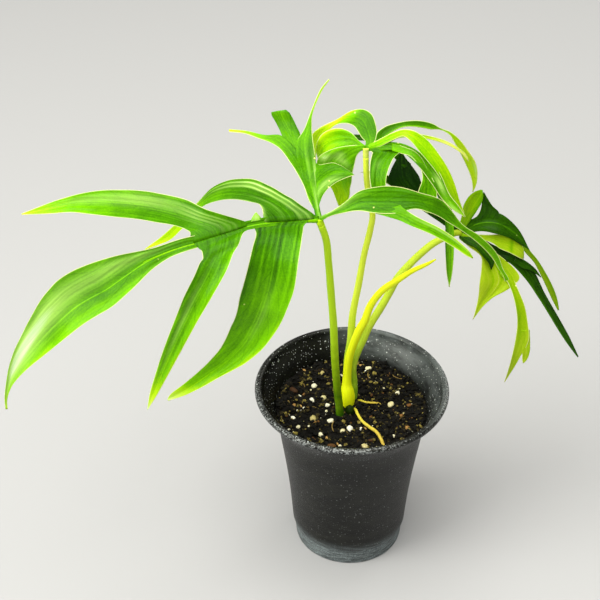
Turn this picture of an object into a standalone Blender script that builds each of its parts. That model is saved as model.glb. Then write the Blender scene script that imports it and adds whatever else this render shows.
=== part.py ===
"""A young glad hands philodendron in a round plastic nursery pot, modelled at its real size.

Run with: blender --background --python part.py
The pot stands on z = 0 with its axis on the world Z axis, and the plant leans to -X and +X.
Driving sizes and the plant's curves are in millimetres, and each mesh is written in metres.
"""

import math

import bmesh
import bpy
import numpy as np

MM = 0.001
SEAT_GAP = 0.3  # clearance between a piece and the piece that holds it
HOLE_SPARE = 0.35  # how much wider a hole in the soil is, all round, than what stands in it

# Pot
POT_HEIGHT = 121.5
RIM_RADIUS = 60.0
LIP_RADIUS = 2.1  # the rolled lip is a bead of this radius
FOOT_RADIUS = 34.4
FOOT_HEIGHT = 13.0
FOOT_FLARE = 1.0  # how much wider the foot's band is at its top
FOOT_STEP = 1.1  # how far the wall stands out over the foot
FOOT_STEP_RISE = 1.2
FOOT_ROUNDING = 0.8
WALL = 1.2
FLOOR = 2.0
WALL_OUTLINE = [(38.7, 41.0), (41.2, 62.0), (43.9, 81.0)]  # the straight wall outside, (radius, height)
NECK = (46.6, 98.0)  # where the wall turns into the flare
FLARE_OUTSIDE = [(48.6, 105.0), (52.0, 111.5), (56.0, 116.6)]
FLARE_INSIDE = [(54.4, 116.6), (51.0, 112.2), (47.5, 105.4)]
LIP_TURNS = (-80, -40, 0, 40, 80, 120, 160)  # the bead's corners, in degrees over the horizontal
POT_SIDES = 46
DRAIN_HOLES = 6
DRAIN_RADIUS = 3.0
DRAIN_CIRCLE = 24.0
DRAIN_SIDES = 16
CUT_SPARE = 2.0  # how far a drain's cutter stands out of the floor

# Soil
SOIL_LEVEL = 104.5
SOIL_SEGMENTS = 36
SOIL_RINGS = 9
SOIL_DOME = 1.6  # how much higher its middle is than its edge
SOIL_WAVES = [
    (0.21, 0.17, 0.3, 0.30), (0.38, -0.31, 0.0, 0.32), (0.43, 0.55, 1.1, 0.27), (-0.12, 0.2, 2.0, 0.3),
]  # (turns of phase per mm of x, and of y, phase at the middle, height)
FACET_SPARE = 0.3  # the pot's flat sides come this much nearer its axis than its corners
SOIL_SEED = 11
PERLITE = [
    (-17.7, 32, 1.8), (-22.8, 19, 2.1), (-17.3, 7.9, 2.1), (-29.6, -2, 1.0), (-15.6, -6.3, 1.3),
    (-24.1, -12.9, 2.4), (-13.2, -14.9, 2.2), (-6, -23, 1.9), (-1.5, -21.8, 2.3), (-19.6, -26, 1.9),
    (6.9, -38, 2.1), (1.3, -40.3, 1.4), (12.1, 35.7, 2.0), (19.3, 25.7, 1.3), (29.2, 10.9, 1.8),
    (24.6, 1.1, 2.3), (5, -21.2, 1.4), (-7.9, -36.8, 1.1), (32.3, -7.3, 1.0),
]  # (x, y, half size) of the larger white grains
BARK = [
    (-36, 14.6, 3.0), (-29.6, 10.5, 1.6), (-12.9, -36.8, 3.0), (-15.8, -28.6, 1.4), (36, 0.8, 1.9),
    (-24.4, -28.7, 1.1), (34, -20, 2.2), (26, 20, 1.6), (7, 39, 1.6),
]
SPARE_GRAINS = 14  # more grains, drawn at random where the soil is bare
SPARE_SIZES = (1.1, 2.1)
PERLITE_FORM = (1.0, 0.85, 0.7)  # half sizes of a grain, as shares of its own
BARK_FORM = (1.0, 0.62, 0.4)
GRAIN_JITTER = (0.82, 1.15)
GRAIN_SUNK = 0.35  # share of a grain's height that is in the soil
GRAIN_FIELD = 42.0  # radius of the soil that grains are drawn on
GRAIN_CLEARANCE = 2.2  # bare soil kept round every stem and root
LOW_STEM = 14.0  # height over the soil up to which a stem keeps grains off

# Plant
BURIED_LEVEL = 88.0
BLADE = 0.9  # thickness of a leaf blade
STALK_SIDES = 10
STALK_STEPS = 19
SHOOT_SIDES = 10
SHOOT_STEPS = 32
STUB_STEPS = 5
ROOT_SIDES = 8
ROOT_STEPS = 12
VEIN_SIDES = 8
VEIN_STEPS = 14
VEIN_SINK = 0.7  # depth of a main vein's middle under the blade's
COLLAR_LENGTH = 2.0
HUB_RADIUS = 1.9
FINEST_RADIUS = 0.3
FINEST_HALF_WIDTH = 0.5
CHANNEL_POWER = 1.5
LOBE_CHANNEL = 0.22  # how far a lobe's edges rise over its middle, as a share of its half width
FLAT_ROOT = 16.0  # length over which a lobe turns from flat, at the main vein, to channelled
WIDE_LOBE = 5.5  # a lobe this wide at its middle, from middle to edge, has four facets across, not two

LEAF_A_HUB = (-21, -22, 260)
LEAF_B_HUB = (5, 18, 281)
LEAF_C_HUB = (66, 46, 204)

# A lobe's rows run from its root to its tip: (x, y, z of its middle, and the vector to one edge).
LEAF_A_LOBES = {
    "terminal": [
        (-21.6, -22.2, 260.1, 0, 1, 1.1), (-28.7, -23.8, 261.1, 0, 1.4, 1.5),
        (-61.2, -35, 264.1, -0.5, 1.6, 1.8), (-68.6, -37.2, 263.4, -1.2, 1.2, 1.6),
        (-82.9, -43, 261.1, -1.2, 1.5, 1.8), (-88.4, -45.7, 260.8, -1.5, 2, 2.4),
        (-94.1, -47.9, 260.5, -2.1, 1.8, 2.6), (-107.4, -51.1, 256.9, -4.8, 1.7, 2.1),
        (-114.7, -52.9, 254.5, -5.6, 2.5, 3.2), (-129.9, -58.2, 247.5, -7.1, 6, 6.6),
        (-137.8, -60.4, 243.1, -6.8, 7.5, 8.4), (-146.4, -61.4, 238.6, -6.5, 7.7, 9.4),
        (-154.6, -62, 233, -6.7, 7.2, 9.6), (-161.6, -62.7, 226.3, -5.6, 6.9, 10.1),
        (-174.9, -62.6, 210.2, -2.8, 4.3, 10.3), (-180.5, -62.4, 202.4, -2.3, 3.7, 8.7),
        (-189.3, -61.2, 188.9, -1, 1.4, 7.5), (-195.8, -60, 174.7, -0.4, 0.2, 4.8),
        (-199.3, -60, 160.7, -0.7, 0, 0.8), (-199.5, -60.2, 154.9, -0.8, 0.2, -0.2),
    ],
    "upper_long": [
        (-74.7, -41.1, 262.4, 14.1, 5.6, 1.7), (-76.1, -39.1, 264.8, 14.6, 5.2, 1.3),
        (-77.7, -38.2, 265.8, 13.3, 4.1, 1.6), (-81.8, -36.9, 266.8, 11, 2.4, 3),
        (-88.2, -34.1, 267.3, 8.7, 1.3, 4.3), (-100.7, -24.8, 265.9, 7.8, 1.8, 6.4),
        (-116, -13.7, 262.2, 7, 1.5, 7.5), (-124.8, -7.2, 259.2, 6.8, 1.5, 7.9),
        (-136.1, -0.1, 255.5, 5.9, 2.5, 7.1), (-149, 6.7, 251.6, 3.6, 3, 5.9),
        (-160.1, 11.5, 248.1, 2.5, 2, 5), (-171.9, 15.1, 243.4, 1.9, 1.8, 3.7),
        (-193.8, 19.7, 235, -0.2, 0.4, 0.2),
    ],
    "upper_arched": [
        (-36.7, -27.2, 262, 14.6, 4.8, -1.9), (-37.7, -25.9, 264, 14.2, 4.3, -2.3),
        (-39.4, -23, 264.7, 12.9, 2.5, -1.2), (-42.1, -19.2, 265.1, 10.7, -0.2, 1.2),
        (-46, -12.9, 264.2, 9, -1.9, 3.3), (-51.6, -5.1, 262.6, 8.5, -3.2, 5.9),
        (-56.8, 2.3, 260.1, 8.1, -2.7, 6.9), (-62.4, 10.4, 256.9, 6.7, -0.1, 6.7),
        (-69.4, 18.8, 252.1, 6, -1.3, 8.2), (-77, 26.4, 246.4, 4.7, -1.4, 8.5),
        (-85.1, 32.8, 238.9, 2.3, -0.8, 6.6), (-92.5, 37, 229, -0.6, 0.7, 2),
        (-99.7, 40.1, 218.3, -2.5, 1.6, 0.7), (-106.2, 42.2, 209.8, -3.1, 1.7, -0.3),
        (-115, 43.5, 200.1, -3.5, 1.6, -0.6), (-126.6, 43.5, 192.7, -0.3, 1.6, -1),
    ],
    "lower_narrow": [
        (-73.9, -40.8, 262.4, -14.9, -5.9, -1.6), (-73.2, -42.4, 260.7, -13.3, -5.8, -2),
        (-73.2, -44.9, 260.7, -11.6, -5, -2.8), (-73.6, -47.9, 260, -10.5, -4.1, -3.1),
        (-74.9, -50.7, 256.9, -9.4, -3.5, -1.8), (-77.4, -56.3, 253.5, -9.1, -1.4, -2.1),
        (-81.4, -60.9, 246.7, -9.4, -0.5, -3), (-85.5, -63.6, 239.8, -8.7, 0.4, -2.6),
        (-90.4, -65.2, 229.6, -7.4, 1.2, -1.9), (-104.7, -67.4, 196.9, -4.4, 0.6, 0.2),
        (-109.8, -66.9, 183.6, -2.7, 0.6, 1.7), (-114.5, -66.4, 170.7, -1.7, 0.7, 0.9),
        (-118.4, -65.4, 158.9, -0.3, 0.1, -0.3),
    ],
    "lower_wide": [
        (-41.4, -28.9, 262.3, -16, -5.3, 1.9), (-42.6, -30.7, 261.1, -13.9, -4.8, 1.5),
        (-43.2, -36.3, 259.3, -12.8, -2.8, 0.9), (-44.4, -42.1, 256.4, -12.9, -1.3, 0.9),
        (-46.1, -48.9, 250, -13.3, 0, 0), (-47.4, -51.8, 243.4, -13.8, 1, -0.7),
        (-49.8, -53.4, 232.5, -14.3, 1.9, -1.4), (-52.5, -54.9, 223, -13.5, 2, -1.2),
        (-57.4, -54.1, 209.3, -12.2, 2.8, 0.2), (-63.2, -54.8, 197.9, -10.1, 3.6, 0.9),
        (-70.2, -55.5, 189.2, -7.5, 3.3, 1.8), (-74.7, -55.7, 184.6, -7.4, 2.9, 0.7),
        (-82.8, -55.7, 177.5, -5.7, 2.1, 0.8), (-93.6, -56.5, 168.6, -4.9, 1.6, 0.1),
        (-102, -57.4, 163, -4, 0.8, -0.3), (-107.3, -57.6, 159, -0.4, 1, -0.5),
    ],
    "rear_hand": [
        (-21.5, -22.5, 260, 1.9, -0.3, -0.1), (-22.9, -16, 263.7, 1.7, 0, 0),
        (-26.3, 4, 268.4, 4.3, -0.2, -0.1), (-27.1, 9.7, 270.7, 4.6, -0.2, -0.1),
        (-28.7, 21.9, 273.6, 5.2, 0.3, 0.1), (-29.2, 29.8, 278.1, 4.6, 0.2, 0.2),
        (-27.3, 38.2, 282.4, 2.1, 0.5, 0.5), (-26.5, 40.9, 285.5, 1.3, 0.3, 0.3),
        (-21.9, 47.3, 296.7, 0.6, -0.2, -0.2), (-19.7, 48.9, 301, 0.6, -0.1, -0.3),
        (-15.4, 50.4, 306.6, 0.4, -0.1, -0.2),
    ],
    "rear_left_finger": [
        (-22.7, -19.1, 262, 0.8, -0.8, -0.3), (-24.4, -12.7, 264.2, 2.1, 0, 0),
        (-27.4, 1.7, 267, 2.9, 0.3, 0.1), (-31.6, 12.4, 271.1, 3.8, 0.5, 0.1),
        (-34.1, 18.3, 272.3, 4.1, 0.6, 0.1), (-36.8, 23.3, 273.9, 4, 0.7, 0.3),
        (-40.1, 27.3, 276, 3.6, 1.1, 0.6), (-46.5, 31.6, 278.7, 3.1, 2, 1.2),
        (-53.2, 32.5, 279.3, 1.8, 1.2, 0.6), (-63, 35.6, 280.6, 0.7, 0.9, 0.4),
        (-72.6, 36.7, 281.1, 0, 0.9, 0.4),
    ],
    "rear_blunt_finger": [
        (-27.2, 11.4, 270.5, 2.5, -1.4, -0.4), (-30, 18.9, 272.1, 3.7, -2, -0.4),
        (-33.1, 25, 274.3, 4.5, -1.5, -0.8), (-36.9, 33.2, 279.3, 5.7, -1.2, -0.6),
        (-38.2, 37.3, 281, 5.9, -1.1, -0.5), (-39.9, 40, 283.2, 6, -0.8, -0.9),
        (-42.7, 43.3, 287.9, 5.7, -0.3, -0.6), (-43.2, 44.1, 289.4, 4.6, 0, 0.1),
        (-42.6, 44.4, 290, 2.6, 0.1, 0.3),
    ],
    "rear_right_finger": [
        (-22.7, -2.2, 267.4, 1.1, -17.9, -5), (-22, 0.2, 268.4, 0.7, -15.2, -4),
        (-20.4, 2.4, 268.9, 0.6, -11.9, -3.2), (-18, 5, 269.4, 0.5, -9.7, -2.8),
        (-11.8, 8.7, 270.2, 0.7, -6.5, -2.1), (-8.6, 8.9, 270.4, 0.9, -4.8, -1.6),
        (-1.6, 7, 270, 0.1, -0.3, -0.1),
    ],
    "right_hand": [
        (-21, -22.5, 260, 0, -0.9, -1.1), (-15, -24.5, 265, -0.3, -0.5, -1.4),
        (-9, -26.5, 269.5, 0, -1.1, -2.2), (1.5, -29, 276.5, 0, -2.9, -4.8),
        (7.5, -31, 278, -0.3, -4, -5.5), (14, -32.5, 279, -0.6, -4.7, -5.8),
        (20, -33.5, 279.5, -0.8, -4.6, -5.5), (32, -33.5, 279, -1.3, -2.4, -3.5),
        (38, -33.5, 277, -1.3, -2.5, -3.5), (43.5, -32.5, 273.5, -1.3, -2.4, -3.3),
        (48.5, -33, 269, -1.1, -1.9, -2.6), (53.5, -33, 263.5, -1.2, -1.5, -0.8),
        (65.5, -30, 252, -1.5, -1.4, -0.6), (76.5, -27, 237.5, -1.7, -0.8, -0.3),
        (80, -26, 229.5, -1.5, -0.4, 0.6), (84, -25, 221, -1.2, -0.3, 0.6),
        (84, -25, 220, -0.6, -0.3, -0.3),
    ],
    "right_lower_finger": [
        (15, -36, 275.5, -6.6, 0.1, -2.8), (19.5, -39, 275, -4.5, -0.8, -2),
        (23.5, -40.5, 274, -2.7, -1.5, -1.7), (28.5, -42.5, 272, -1.9, -1.8, -1.6),
        (40.5, -44, 266.5, -1.9, -1.6, -1.3), (52.5, -44.5, 258, -1.7, -1.1, -0.9),
        (60, -45.5, 251.5, -0.6, -0.7, -0.5), (61.5, -45.5, 250, -0.2, -0.3, -0.1),
    ],
    "web_tooth": [
        (-55.8, -32.4, 265.5, 3.2, 1.2, -0.1), (-55.7, -31.1, 267.2, 2.2, 0.7, -0.2),
        (-55.7, -30.3, 268.6, 1, 0.1, -0.2), (-55.7, -30, 269.5, 0.3, 0.1, -0.1),
    ],
}

LEAF_B_LOBES = {
    "front": [
        (5, 18, 281, -0.6, -0.8, -1), (9, 18.5, 281.5, -2.2, -1.6, -2.1),
        (13.5, 18, 281.5, -5.5, -1.6, -2.1), (17.5, 16.5, 280, -8.8, -1, -1.4),
        (13.5, 8.5, 277, -6.4, -0.7, -0.9), (11.5, 1, 271.5, -4.7, -0.5, -0.7),
        (12, -4, 263, -3.1, -0.2, -0.2), (11.5, -6, 258, -0.7, 0, 0),
    ],
    "rear_arch": [
        (5.5, 18, 281, 1.5, -0.1, -0.1), (7.5, 20, 283, 2.5, -0.1, -0.1),
        (7, 24, 285.5, 4.3, 0.8, 1), (5.5, 28, 288.5, 5.2, 1.2, 1.6), (3.5, 32, 290.5, 5, 2.1, 2.8),
        (0.5, 34.5, 291, 4.1, 2.5, 3.3), (-3, 36.5, 290, 3, 2.3, 3.1),
        (-11, 40, 284.5, 0.7, 1.2, 1.5), (-19, 43, 276.5, -1.6, 1.5, 2),
        (-22, 44.5, 272, -2.2, 1.6, 2.1), (-23.5, 46, 266, -1.9, 1.3, 1.7),
        (-23, 47.5, 253.5, -0.2, 0, 0),
    ],
    "left_upper": [
        (5, 18, 281, 0, 0.7, 0.9), (2, 20, 282, -0.3, 1, 1.3), (-1.5, 23, 283.5, -1.1, 2.1, 2.8),
        (-6, 25.5, 283, -1.7, 3.2, 4.2), (-11, 28, 281, -2.3, 3.4, 4.5),
        (-16, 30, 277.5, -2.6, 3.1, 4.1), (-19.5, 31.5, 273, -1.9, 2.5, 3.3),
        (-21.5, 32.5, 268.5, -0.9, 1.6, 2.1), (-21.5, 33, 264.5, -0.3, 0.3, 0.5),
    ],
    "left": [
        (5, 18, 281, 0, 0.8, 1), (2.5, 18, 281, -0.1, 1, 1.3), (-1, 18.5, 279.5, -1.7, 1.5, 2),
        (-8.5, 20.5, 272.5, -7.5, 2.9, 3.8), (-11.5, 21.5, 267.5, -9.8, 2.9, 3.9),
        (-12, 21.5, 262, -9.9, 2.5, 3.3), (-11, 21, 256, -8, 1.8, 2.4),
        (-8.5, 20, 251, -5.3, 1.2, 1.6), (-8, 19.5, 246, -3.6, 0.5, 0.7),
        (-9, 19, 241.5, -0.9, 0.1, 0.1),
    ],
    "outer_arch": [
        (5.5, 18, 281, 0.3, -0.8, -1), (10, 19, 281.5, 1, -0.9, -1.2),
        (12.5, 20, 284, 2.2, -0.8, -1.1), (13.5, 21.5, 287, 2.2, -1, -1.3),
        (15.5, 22.5, 288.5, 1.7, -1.2, -1.6), (23.5, 25.5, 291, 1.1, -0.9, -1.2),
        (36, 29.5, 289.5, 0, -1.2, -1.6), (42, 31.5, 287, -0.6, -1.1, -1.4),
        (48, 33.5, 284, -0.3, -0.3, -0.4), (53, 34.5, 281, -0.3, -0.5, -0.6),
        (57.5, 35.5, 275.5, -1.1, -0.8, -1.1), (63, 37, 266.5, -2.3, -0.5, -0.7),
        (67.5, 38.5, 257.5, -2.6, -0.7, -1), (70, 39, 249, -1.9, -0.7, -0.9),
        (70.5, 39, 241.5, -1, -0.4, -0.5), (70, 39, 238, -0.3, 0, 0),
    ],
    "inner_arch": [
        (5.5, 18, 281, 0.3, -0.7, -0.9), (10, 18.5, 281.5, 0.3, -0.9, -1.2),
        (14.5, 19.5, 282.5, 0.6, -1, -1.3), (17, 20.5, 284.5, 0.8, -1.1, -1.5),
        (21.5, 22, 286, 0.7, -0.9, -1.2), (26.5, 23.5, 286, 0.3, -0.8, -1.1),
        (38, 27, 283, -0.4, -0.6, -0.8), (58.5, 31, 272, -0.2, -0.5, -0.7),
        (63, 31.5, 267.5, -0.4, -0.3, -0.5), (65, 31.5, 264, -0.2, -0.1, -0.1),
    ],
    "pale": [
        (5.5, 18, 281, 0, -0.7, -0.9), (12.5, 19, 283.5, 0.3, -1.2, -1.6),
        (20.5, 17.5, 289, 0.4, -1.2, -1.6), (26, 15, 292.5, 0, -1.2, -1.6),
        (30, 12.5, 292, -0.6, -1.8, -2.4), (34, 11, 289, -1.2, -2.4, -3.1),
        (44.5, 7, 277.5, -1.8, -2.3, -3), (53.5, 4.5, 261.5, -1.2, -2, -2.7),
        (57.5, 4, 252.5, -1.1, -0.7, -0.9), (61, 3.5, 247, -0.3, -0.1, -0.1),
    ],
    "long_hanging": [
        (5, 18, 281, 0.1, -0.8, -1), (12, 18, 281.5, 0, -1.3, -1.7),
        (19.5, 16.5, 283, -0.3, -1.4, -1.8), (25.5, 14.5, 283, -0.7, -1.3, -1.7),
        (30, 12, 281.5, -1.5, -1.4, -1.8), (34.5, 9, 279, -2, -1.4, -1.9),
        (43.5, 3.5, 270, -2.1, -2, -2.6), (50, -1, 260, -2.2, -0.7, -0.9),
        (54.5, -3, 255.5, -1.7, -0.8, -1), (61, -4.5, 249.5, -0.2, -0.1, -0.2),
    ],
    "low_hanging": [
        (43.5, 3, 268, -2.8, 1.3, 1.8), (48, 0, 260.5, -3.1, 0.3, 0.4),
        (51, -3, 252, -2.5, -0.2, -0.2), (53, -6.5, 232, -2.5, 0, 0), (54, -8, 212, -1.6, 0, 0),
        (54.5, -8, 203, -0.2, 0, 0),
    ],
    "short": [
        (19.5, 15.5, 283, 0, -1.3, -1.7), (25.5, 13, 282.5, -0.6, -1.2, -1.6),
        (31, 10.5, 281.5, -1.4, -0.8, -1.1), (35, 8, 278, -1.8, -0.5, -0.7),
        (38, 5, 273, -2.1, 0, 0), (39.5, 2.5, 268.5, -3.5, 0.2, 0.2),
        (39.5, 0.5, 263.5, -5.2, 0.3, 0.4), (39, -1, 259, -5.2, 0.3, 0.4),
        (39.5, -2.5, 250.5, -0.3, 0, 0),
    ],
}

LEAF_C_LOBES = {
    "rear_hand": [
        (65.5, 46, 204, 1.5, 1.3, 1.7), (58, 49, 210.5, 2.1, 1.8, 2.4),
        (49, 52.5, 217.5, 3.6, 2.2, 2.9), (33.5, 56.5, 230.5, 7.5, 1.6, 2.2),
        (30, 57.5, 236, 9.2, 1.1, 1.4), (29, 58, 242, 6.9, 0.5, 0.7),
        (28.5, 58.5, 251.5, 1.6, -0.2, -0.3), (28, 59, 254, 0.3, 0, 0),
    ],
    "rear_low_finger": [
        (32.5, 56.5, 229, 0.9, 1.6, 2.2), (24.5, 57.5, 232.5, 0.9, 1.5, 1.9),
        (10.5, 58.5, 239, 0.3, 0.9, 1.2), (4.5, 59, 239, 0, -0.2, -0.2),
    ],
    "rear_high_finger": [
        (32.5, 58, 244, 2.1, 0.7, 1), (21.5, 61, 254, 1.2, 1.1, 1.4),
        (13, 63.5, 258.5, 0.6, 0.9, 1.2), (-3, 66, 259.5, 0.3, 0.8, 1),
        (-9, 66.5, 260, 0.1, -0.1, -0.2),
    ],
    "upright_flap": [
        (65.5, 46, 206, 1.8, -0.4, -0.5), (68, 46, 213.5, 2.7, -0.5, -0.7),
        (71, 47, 223, 4.1, -1.1, -1.4), (73.5, 48, 227.5, 3.6, -1.3, -1.7),
        (75.5, 48.5, 231, 2.3, -0.8, -1), (76.5, 49, 233, 0.7, -0.1, -0.1),
    ],
    "upright_right": [
        (66.5, 46, 205.5, 2.1, -0.9, -1.2), (72, 46, 210.5, 3.6, -1.5, -2.1),
        (77.5, 46, 212, 4.5, -1.2, -1.6), (81.5, 46.5, 216, 5.4, -1.1, -1.4),
        (82.5, 47, 220.5, 5.3, -1.1, -1.4), (80.5, 47.5, 225, 3.2, -1.2, -1.6),
        (78, 48.5, 231.5, 0.2, -0.1, -0.1),
    ],
    "middle": [
        (65.5, 46, 203.5, 0.9, -1.1, -1.5), (72, 45.5, 209, 0.9, -2.2, -2.9),
        (79, 45, 212, 0, -3.2, -4.2), (85.5, 44, 212.5, -0.6, -3.8, -5.1),
        (96.5, 42, 207.5, -0.8, -2.7, -3.6), (100.5, 41, 204, -0.5, -2.2, -2.9),
        (107.5, 40, 195.5, 0.1, -0.1, -0.2),
    ],
    "rear_hanging": [
        (65.5, 46, 203.5, 0.3, -0.7, -1), (76, 48, 207, 0, -1.1, -1.5),
        (87.5, 51, 207.5, -0.3, -1.3, -1.7), (97, 53, 203.5, -0.9, -1.3, -1.7),
        (102, 54, 196, -1.5, -0.7, -1), (109, 54, 184.5, -1.5, -0.4, -0.5),
        (114.5, 54, 177.5, -1.2, -0.5, -0.6), (120.5, 54, 167, -1.6, -0.5, -0.6),
        (130, 54, 146.5, -1.4, -0.4, -0.5), (133, 54, 138.5, -0.5, -0.1, -0.1),
    ],
    "pale_tab": [
        (65.5, 45, 203.5, 0.3, -0.7, -1), (75.5, 43, 203, 0.6, -1, -1.3),
        (83, 41, 203, 0.8, -1.5, -1.9), (89, 40, 201.5, 0, -2.6, -3.4),
        (95, 39, 199.5, -0.3, -2.7, -3.6), (100, 38.5, 197, -0.8, -2.7, -3.6),
        (103, 38, 193.5, -0.6, -1.6, -2.2), (104, 38, 190.5, -0.3, -0.4, -0.5),
    ],
    "long_dark": [
        (65, 46, 202.5, -0.3, -0.9, -1.2), (74.5, 44, 200.5, -1.2, -1.5, -1.9),
        (82, 42, 196, -1.8, -1.5, -1.9), (89.5, 40.5, 192, -1.2, -2.1, -2.7),
        (96, 39, 190.5, -1.4, -1.7, -2.3), (101.5, 37.5, 187, -1.8, -1.9, -2.6),
        (106.5, 36, 182, -2, -2, -2.7), (116.5, 34, 166, -2, -0.9, -1.2),
        (137.5, 32, 130, -1.1, -0.8, -1), (144.5, 32, 118, -0.3, -0.2, -0.3),
    ],
    "dark_finger": [
        (99, 38, 190, -0.6, -1.2, -1.6), (104.5, 36.5, 187, -1.2, -1.3, -1.7),
        (109.5, 35.5, 184.5, -1.4, -0.5, -0.6), (115.5, 35, 178.5, -0.2, -0.1, -0.1),
    ],
    "short_dark": [
        (65.5, 45, 202.5, -0.6, -0.9, -1.2), (70, 42, 201, -1.2, -1.3, -1.7),
        (75, 39, 200, -1.1, -1.2, -1.6), (79, 37, 196.5, -1.4, -1.1, -1.5),
        (84.5, 34.5, 189, -1.5, -0.4, -0.5), (84.5, 34, 185, -0.3, -0.1, -0.1),
    ],
    "pale_broad": [
        (65.5, 45, 201.5, -0.6, -0.7, -1), (72.5, 42, 197.5, -1.2, -0.9, -1.2),
        (80.5, 39, 194, -2.6, -1.5, -1.9), (85, 37, 188.5, -6.7, -1.5, -1.9),
        (88, 35, 183.5, -10.1, -1.3, -1.7), (89.5, 32, 178, -12.4, -1.2, -1.6),
        (86, 29, 172, -9.1, -1, -1.3), (81.5, 26.5, 167.5, -5.3, -1.2, -1.6),
        (78, 24, 163.5, -2.8, -1, -1.3), (74, 20.5, 157, -0.2, -0.1, -0.1),
    ],
    "pale_long": [
        (91, 35, 184, -1.8, -1.5, -1.9), (95.5, 32, 180.5, -1.7, -1.2, -1.6),
        (98, 29, 176, -1.9, -0.6, -0.7), (103, 23, 163, -2.8, -0.6, -0.7),
        (104.5, 20.5, 154.5, -3.3, -0.2, -0.2), (105, 18, 144.5, -4.2, 0, 0),
        (101.5, 15.5, 130, -3, -0.7, -1), (96.5, 14.5, 112, -0.3, -0.1, -0.1),
    ],
    "pale_side_tip": [
        (106.5, 19, 150, -2.8, 0, 0), (107.5, 17.5, 142.5, -2.6, 0.2, 0.2),
        (108, 16, 135.5, -2.3, 0.2, 0.2), (107.5, 15.5, 129.5, -1.5, 0.2, 0.2),
        (107, 15, 127, -0.5, 0, 0),
    ],
}

# A stalk's points are (x, y, z, radius) from its buried foot to its upper end.
PETIOLE_A = [
    (-7.3, -8.5, BURIED_LEVEL, 2.4), (-7.3, -8.9, 104, 2.5), (-9.3, -9.5, 127, 2.35),
    (-11, -11, 150, 2.3), (-12.4, -14, 180, 2.25), (-14.4, -17, 208, 2.15), (-15.9, -19, 228, 2.1),
    (-17.9, -21, 247, 2.05), (-20.5, -21.8, 256, 2.1),
]
PETIOLE_B = [
    (-2.4, 12.0, BURIED_LEVEL, 2.3), (-2.4, 12.2, 104, 2.4), (-2.5, 14, 130, 2.3),
    (-1, 15, 144, 2.3), (0, 15, 165, 2.2), (3, 15.5, 187, 2.05), (6, 16, 210, 1.9),
    (9, 16, 227, 1.85), (10, 16, 236, 1.8), (8, 17, 247, 1.75), (6, 18, 260, 1.7), (5.2, 18, 275, 1.7),
]
PETIOLE_C = [
    (1.6, 7.4, BURIED_LEVEL, 2.2), (1.6, 7.6, 104, 2.3), (1.9, 7.9, 111, 2.2), (1.6, 8.4, 118, 2.1),
    (0.9, 9.5, 125.5, 2.1), (1.9, 10.7, 133, 2.1), (4, 12.6, 139.3, 2.2), (6.8, 15.2, 145.1, 2.3),
    (9.4, 18.2, 150.6, 2.4), (12.8, 21.6, 155.7, 2.4), (16.8, 25.2, 161, 2.4), (22, 30, 168.5, 2.4),
    (27, 33, 178, 2.4), (33, 36, 185, 2.4), (41, 40, 192, 2.3), (49, 43, 198, 2.2), (60, 45.5, 203, 2.1),
]
NEW_SHOOT = [
    (-2.2, 1.0, BURIED_LEVEL, 3.0), (-2.2, 1.2, 103, 3.4), (-2.2, 1.5, 107, 3.9),
    (-2.4, 2.1, 111.5, 4.1), (-2.6, 2.7, 115, 3.7), (-2.9, 3.7, 119, 2.8), (-2.8, 4.8, 124.2, 2.45),
    (-2.5, 5.8, 129.8, 2.4), (-1.8, 6.8, 137.7, 2.35), (0.9, 8, 149.1, 2.35), (3.9, 9.2, 157.7, 2.4),
    (7.2, 10.4, 164.4, 2.3), (10.1, 12, 173.5, 2.15), (18.8, 14, 185.8, 2.0), (26, 16, 190, 1.8),
    (34, 18, 195, 1.5), (45, 20, 200, 0.9), (49, 21, 202, 0.4),
]
STEM_STUB = [
    (-1.5, -6.2, BURIED_LEVEL, 2.3), (-1.5, -6.2, 104, 2.5), (-1.3, -6.0, 108, 2.5),
    (-1.1, -5.8, 109.5, 1.6),
]
AERIAL_ROOT_LONG = [
    (1.2, -2.8, 97, 0.8), (1.3, -3.0, 104.5, 0.85), (2.4, -6.4, 107.2, 0.85), (3.8, -11.5, 107.3, 0.85),
    (6.9, -18.1, 107.2, 0.9), (10.7, -22.4, 107, 1.0), (14.2, -26.3, 107, 1.0),
    (16.5, -31.2, 106.8, 1.0), (18.4, -36.2, 104.6, 0.9), (19, -38.5, 97, 0.7),
]
AERIAL_ROOT_SHORT = [
    (3.5, 4.6, 97, 0.6), (3.6, 4.4, 104.5, 0.6), (5.4, 2.7, 107, 0.65), (8.5, 0.9, 107.1, 0.65),
    (12.2, 0.4, 107, 0.65), (15.3, 0.5, 106.7, 0.65), (18, 1.3, 105, 0.6), (19.5, 2, 98, 0.55),
]
SHEATH_STEP = 0.16  # height of the shoot's overlapping edge, as a share of its radius


def clear_scene():
    for obj in list(bpy.data.objects):
        bpy.data.objects.remove(obj, do_unlink=True)


def material(name, colour, roughness, metallic=0.0):
    made = bpy.data.materials.new(name)
    made.use_nodes = True
    surface = made.node_tree.nodes["Principled BSDF"]
    surface.inputs["Base Color"].default_value = (*colour, 1.0)
    surface.inputs["Roughness"].default_value = roughness
    surface.inputs["Metallic"].default_value = metallic
    made.diffuse_color = (*colour, 1.0)
    return made


def mesh_object(name, points_mm, faces, smooth=True):
    """A mesh object from points in millimetres, with its normals turned outward."""
    mesh = bpy.data.meshes.new(name)
    mesh.from_pydata((np.asarray(points_mm, float) * MM).tolist(), [], faces)
    shape = bmesh.new()
    shape.from_mesh(mesh)
    bmesh.ops.recalc_face_normals(shape, faces=shape.faces)
    shape.to_mesh(mesh)
    shape.free()
    mesh.shade_smooth() if smooth else mesh.shade_flat()
    obj = bpy.data.objects.new(name, mesh)
    bpy.context.scene.collection.objects.link(obj)
    return obj


def apply_modifier(obj, modifier):
    with bpy.context.temp_override(object=obj, active_object=obj, selected_objects=[obj]):
        bpy.ops.object.modifier_apply(modifier=modifier.name)


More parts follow.
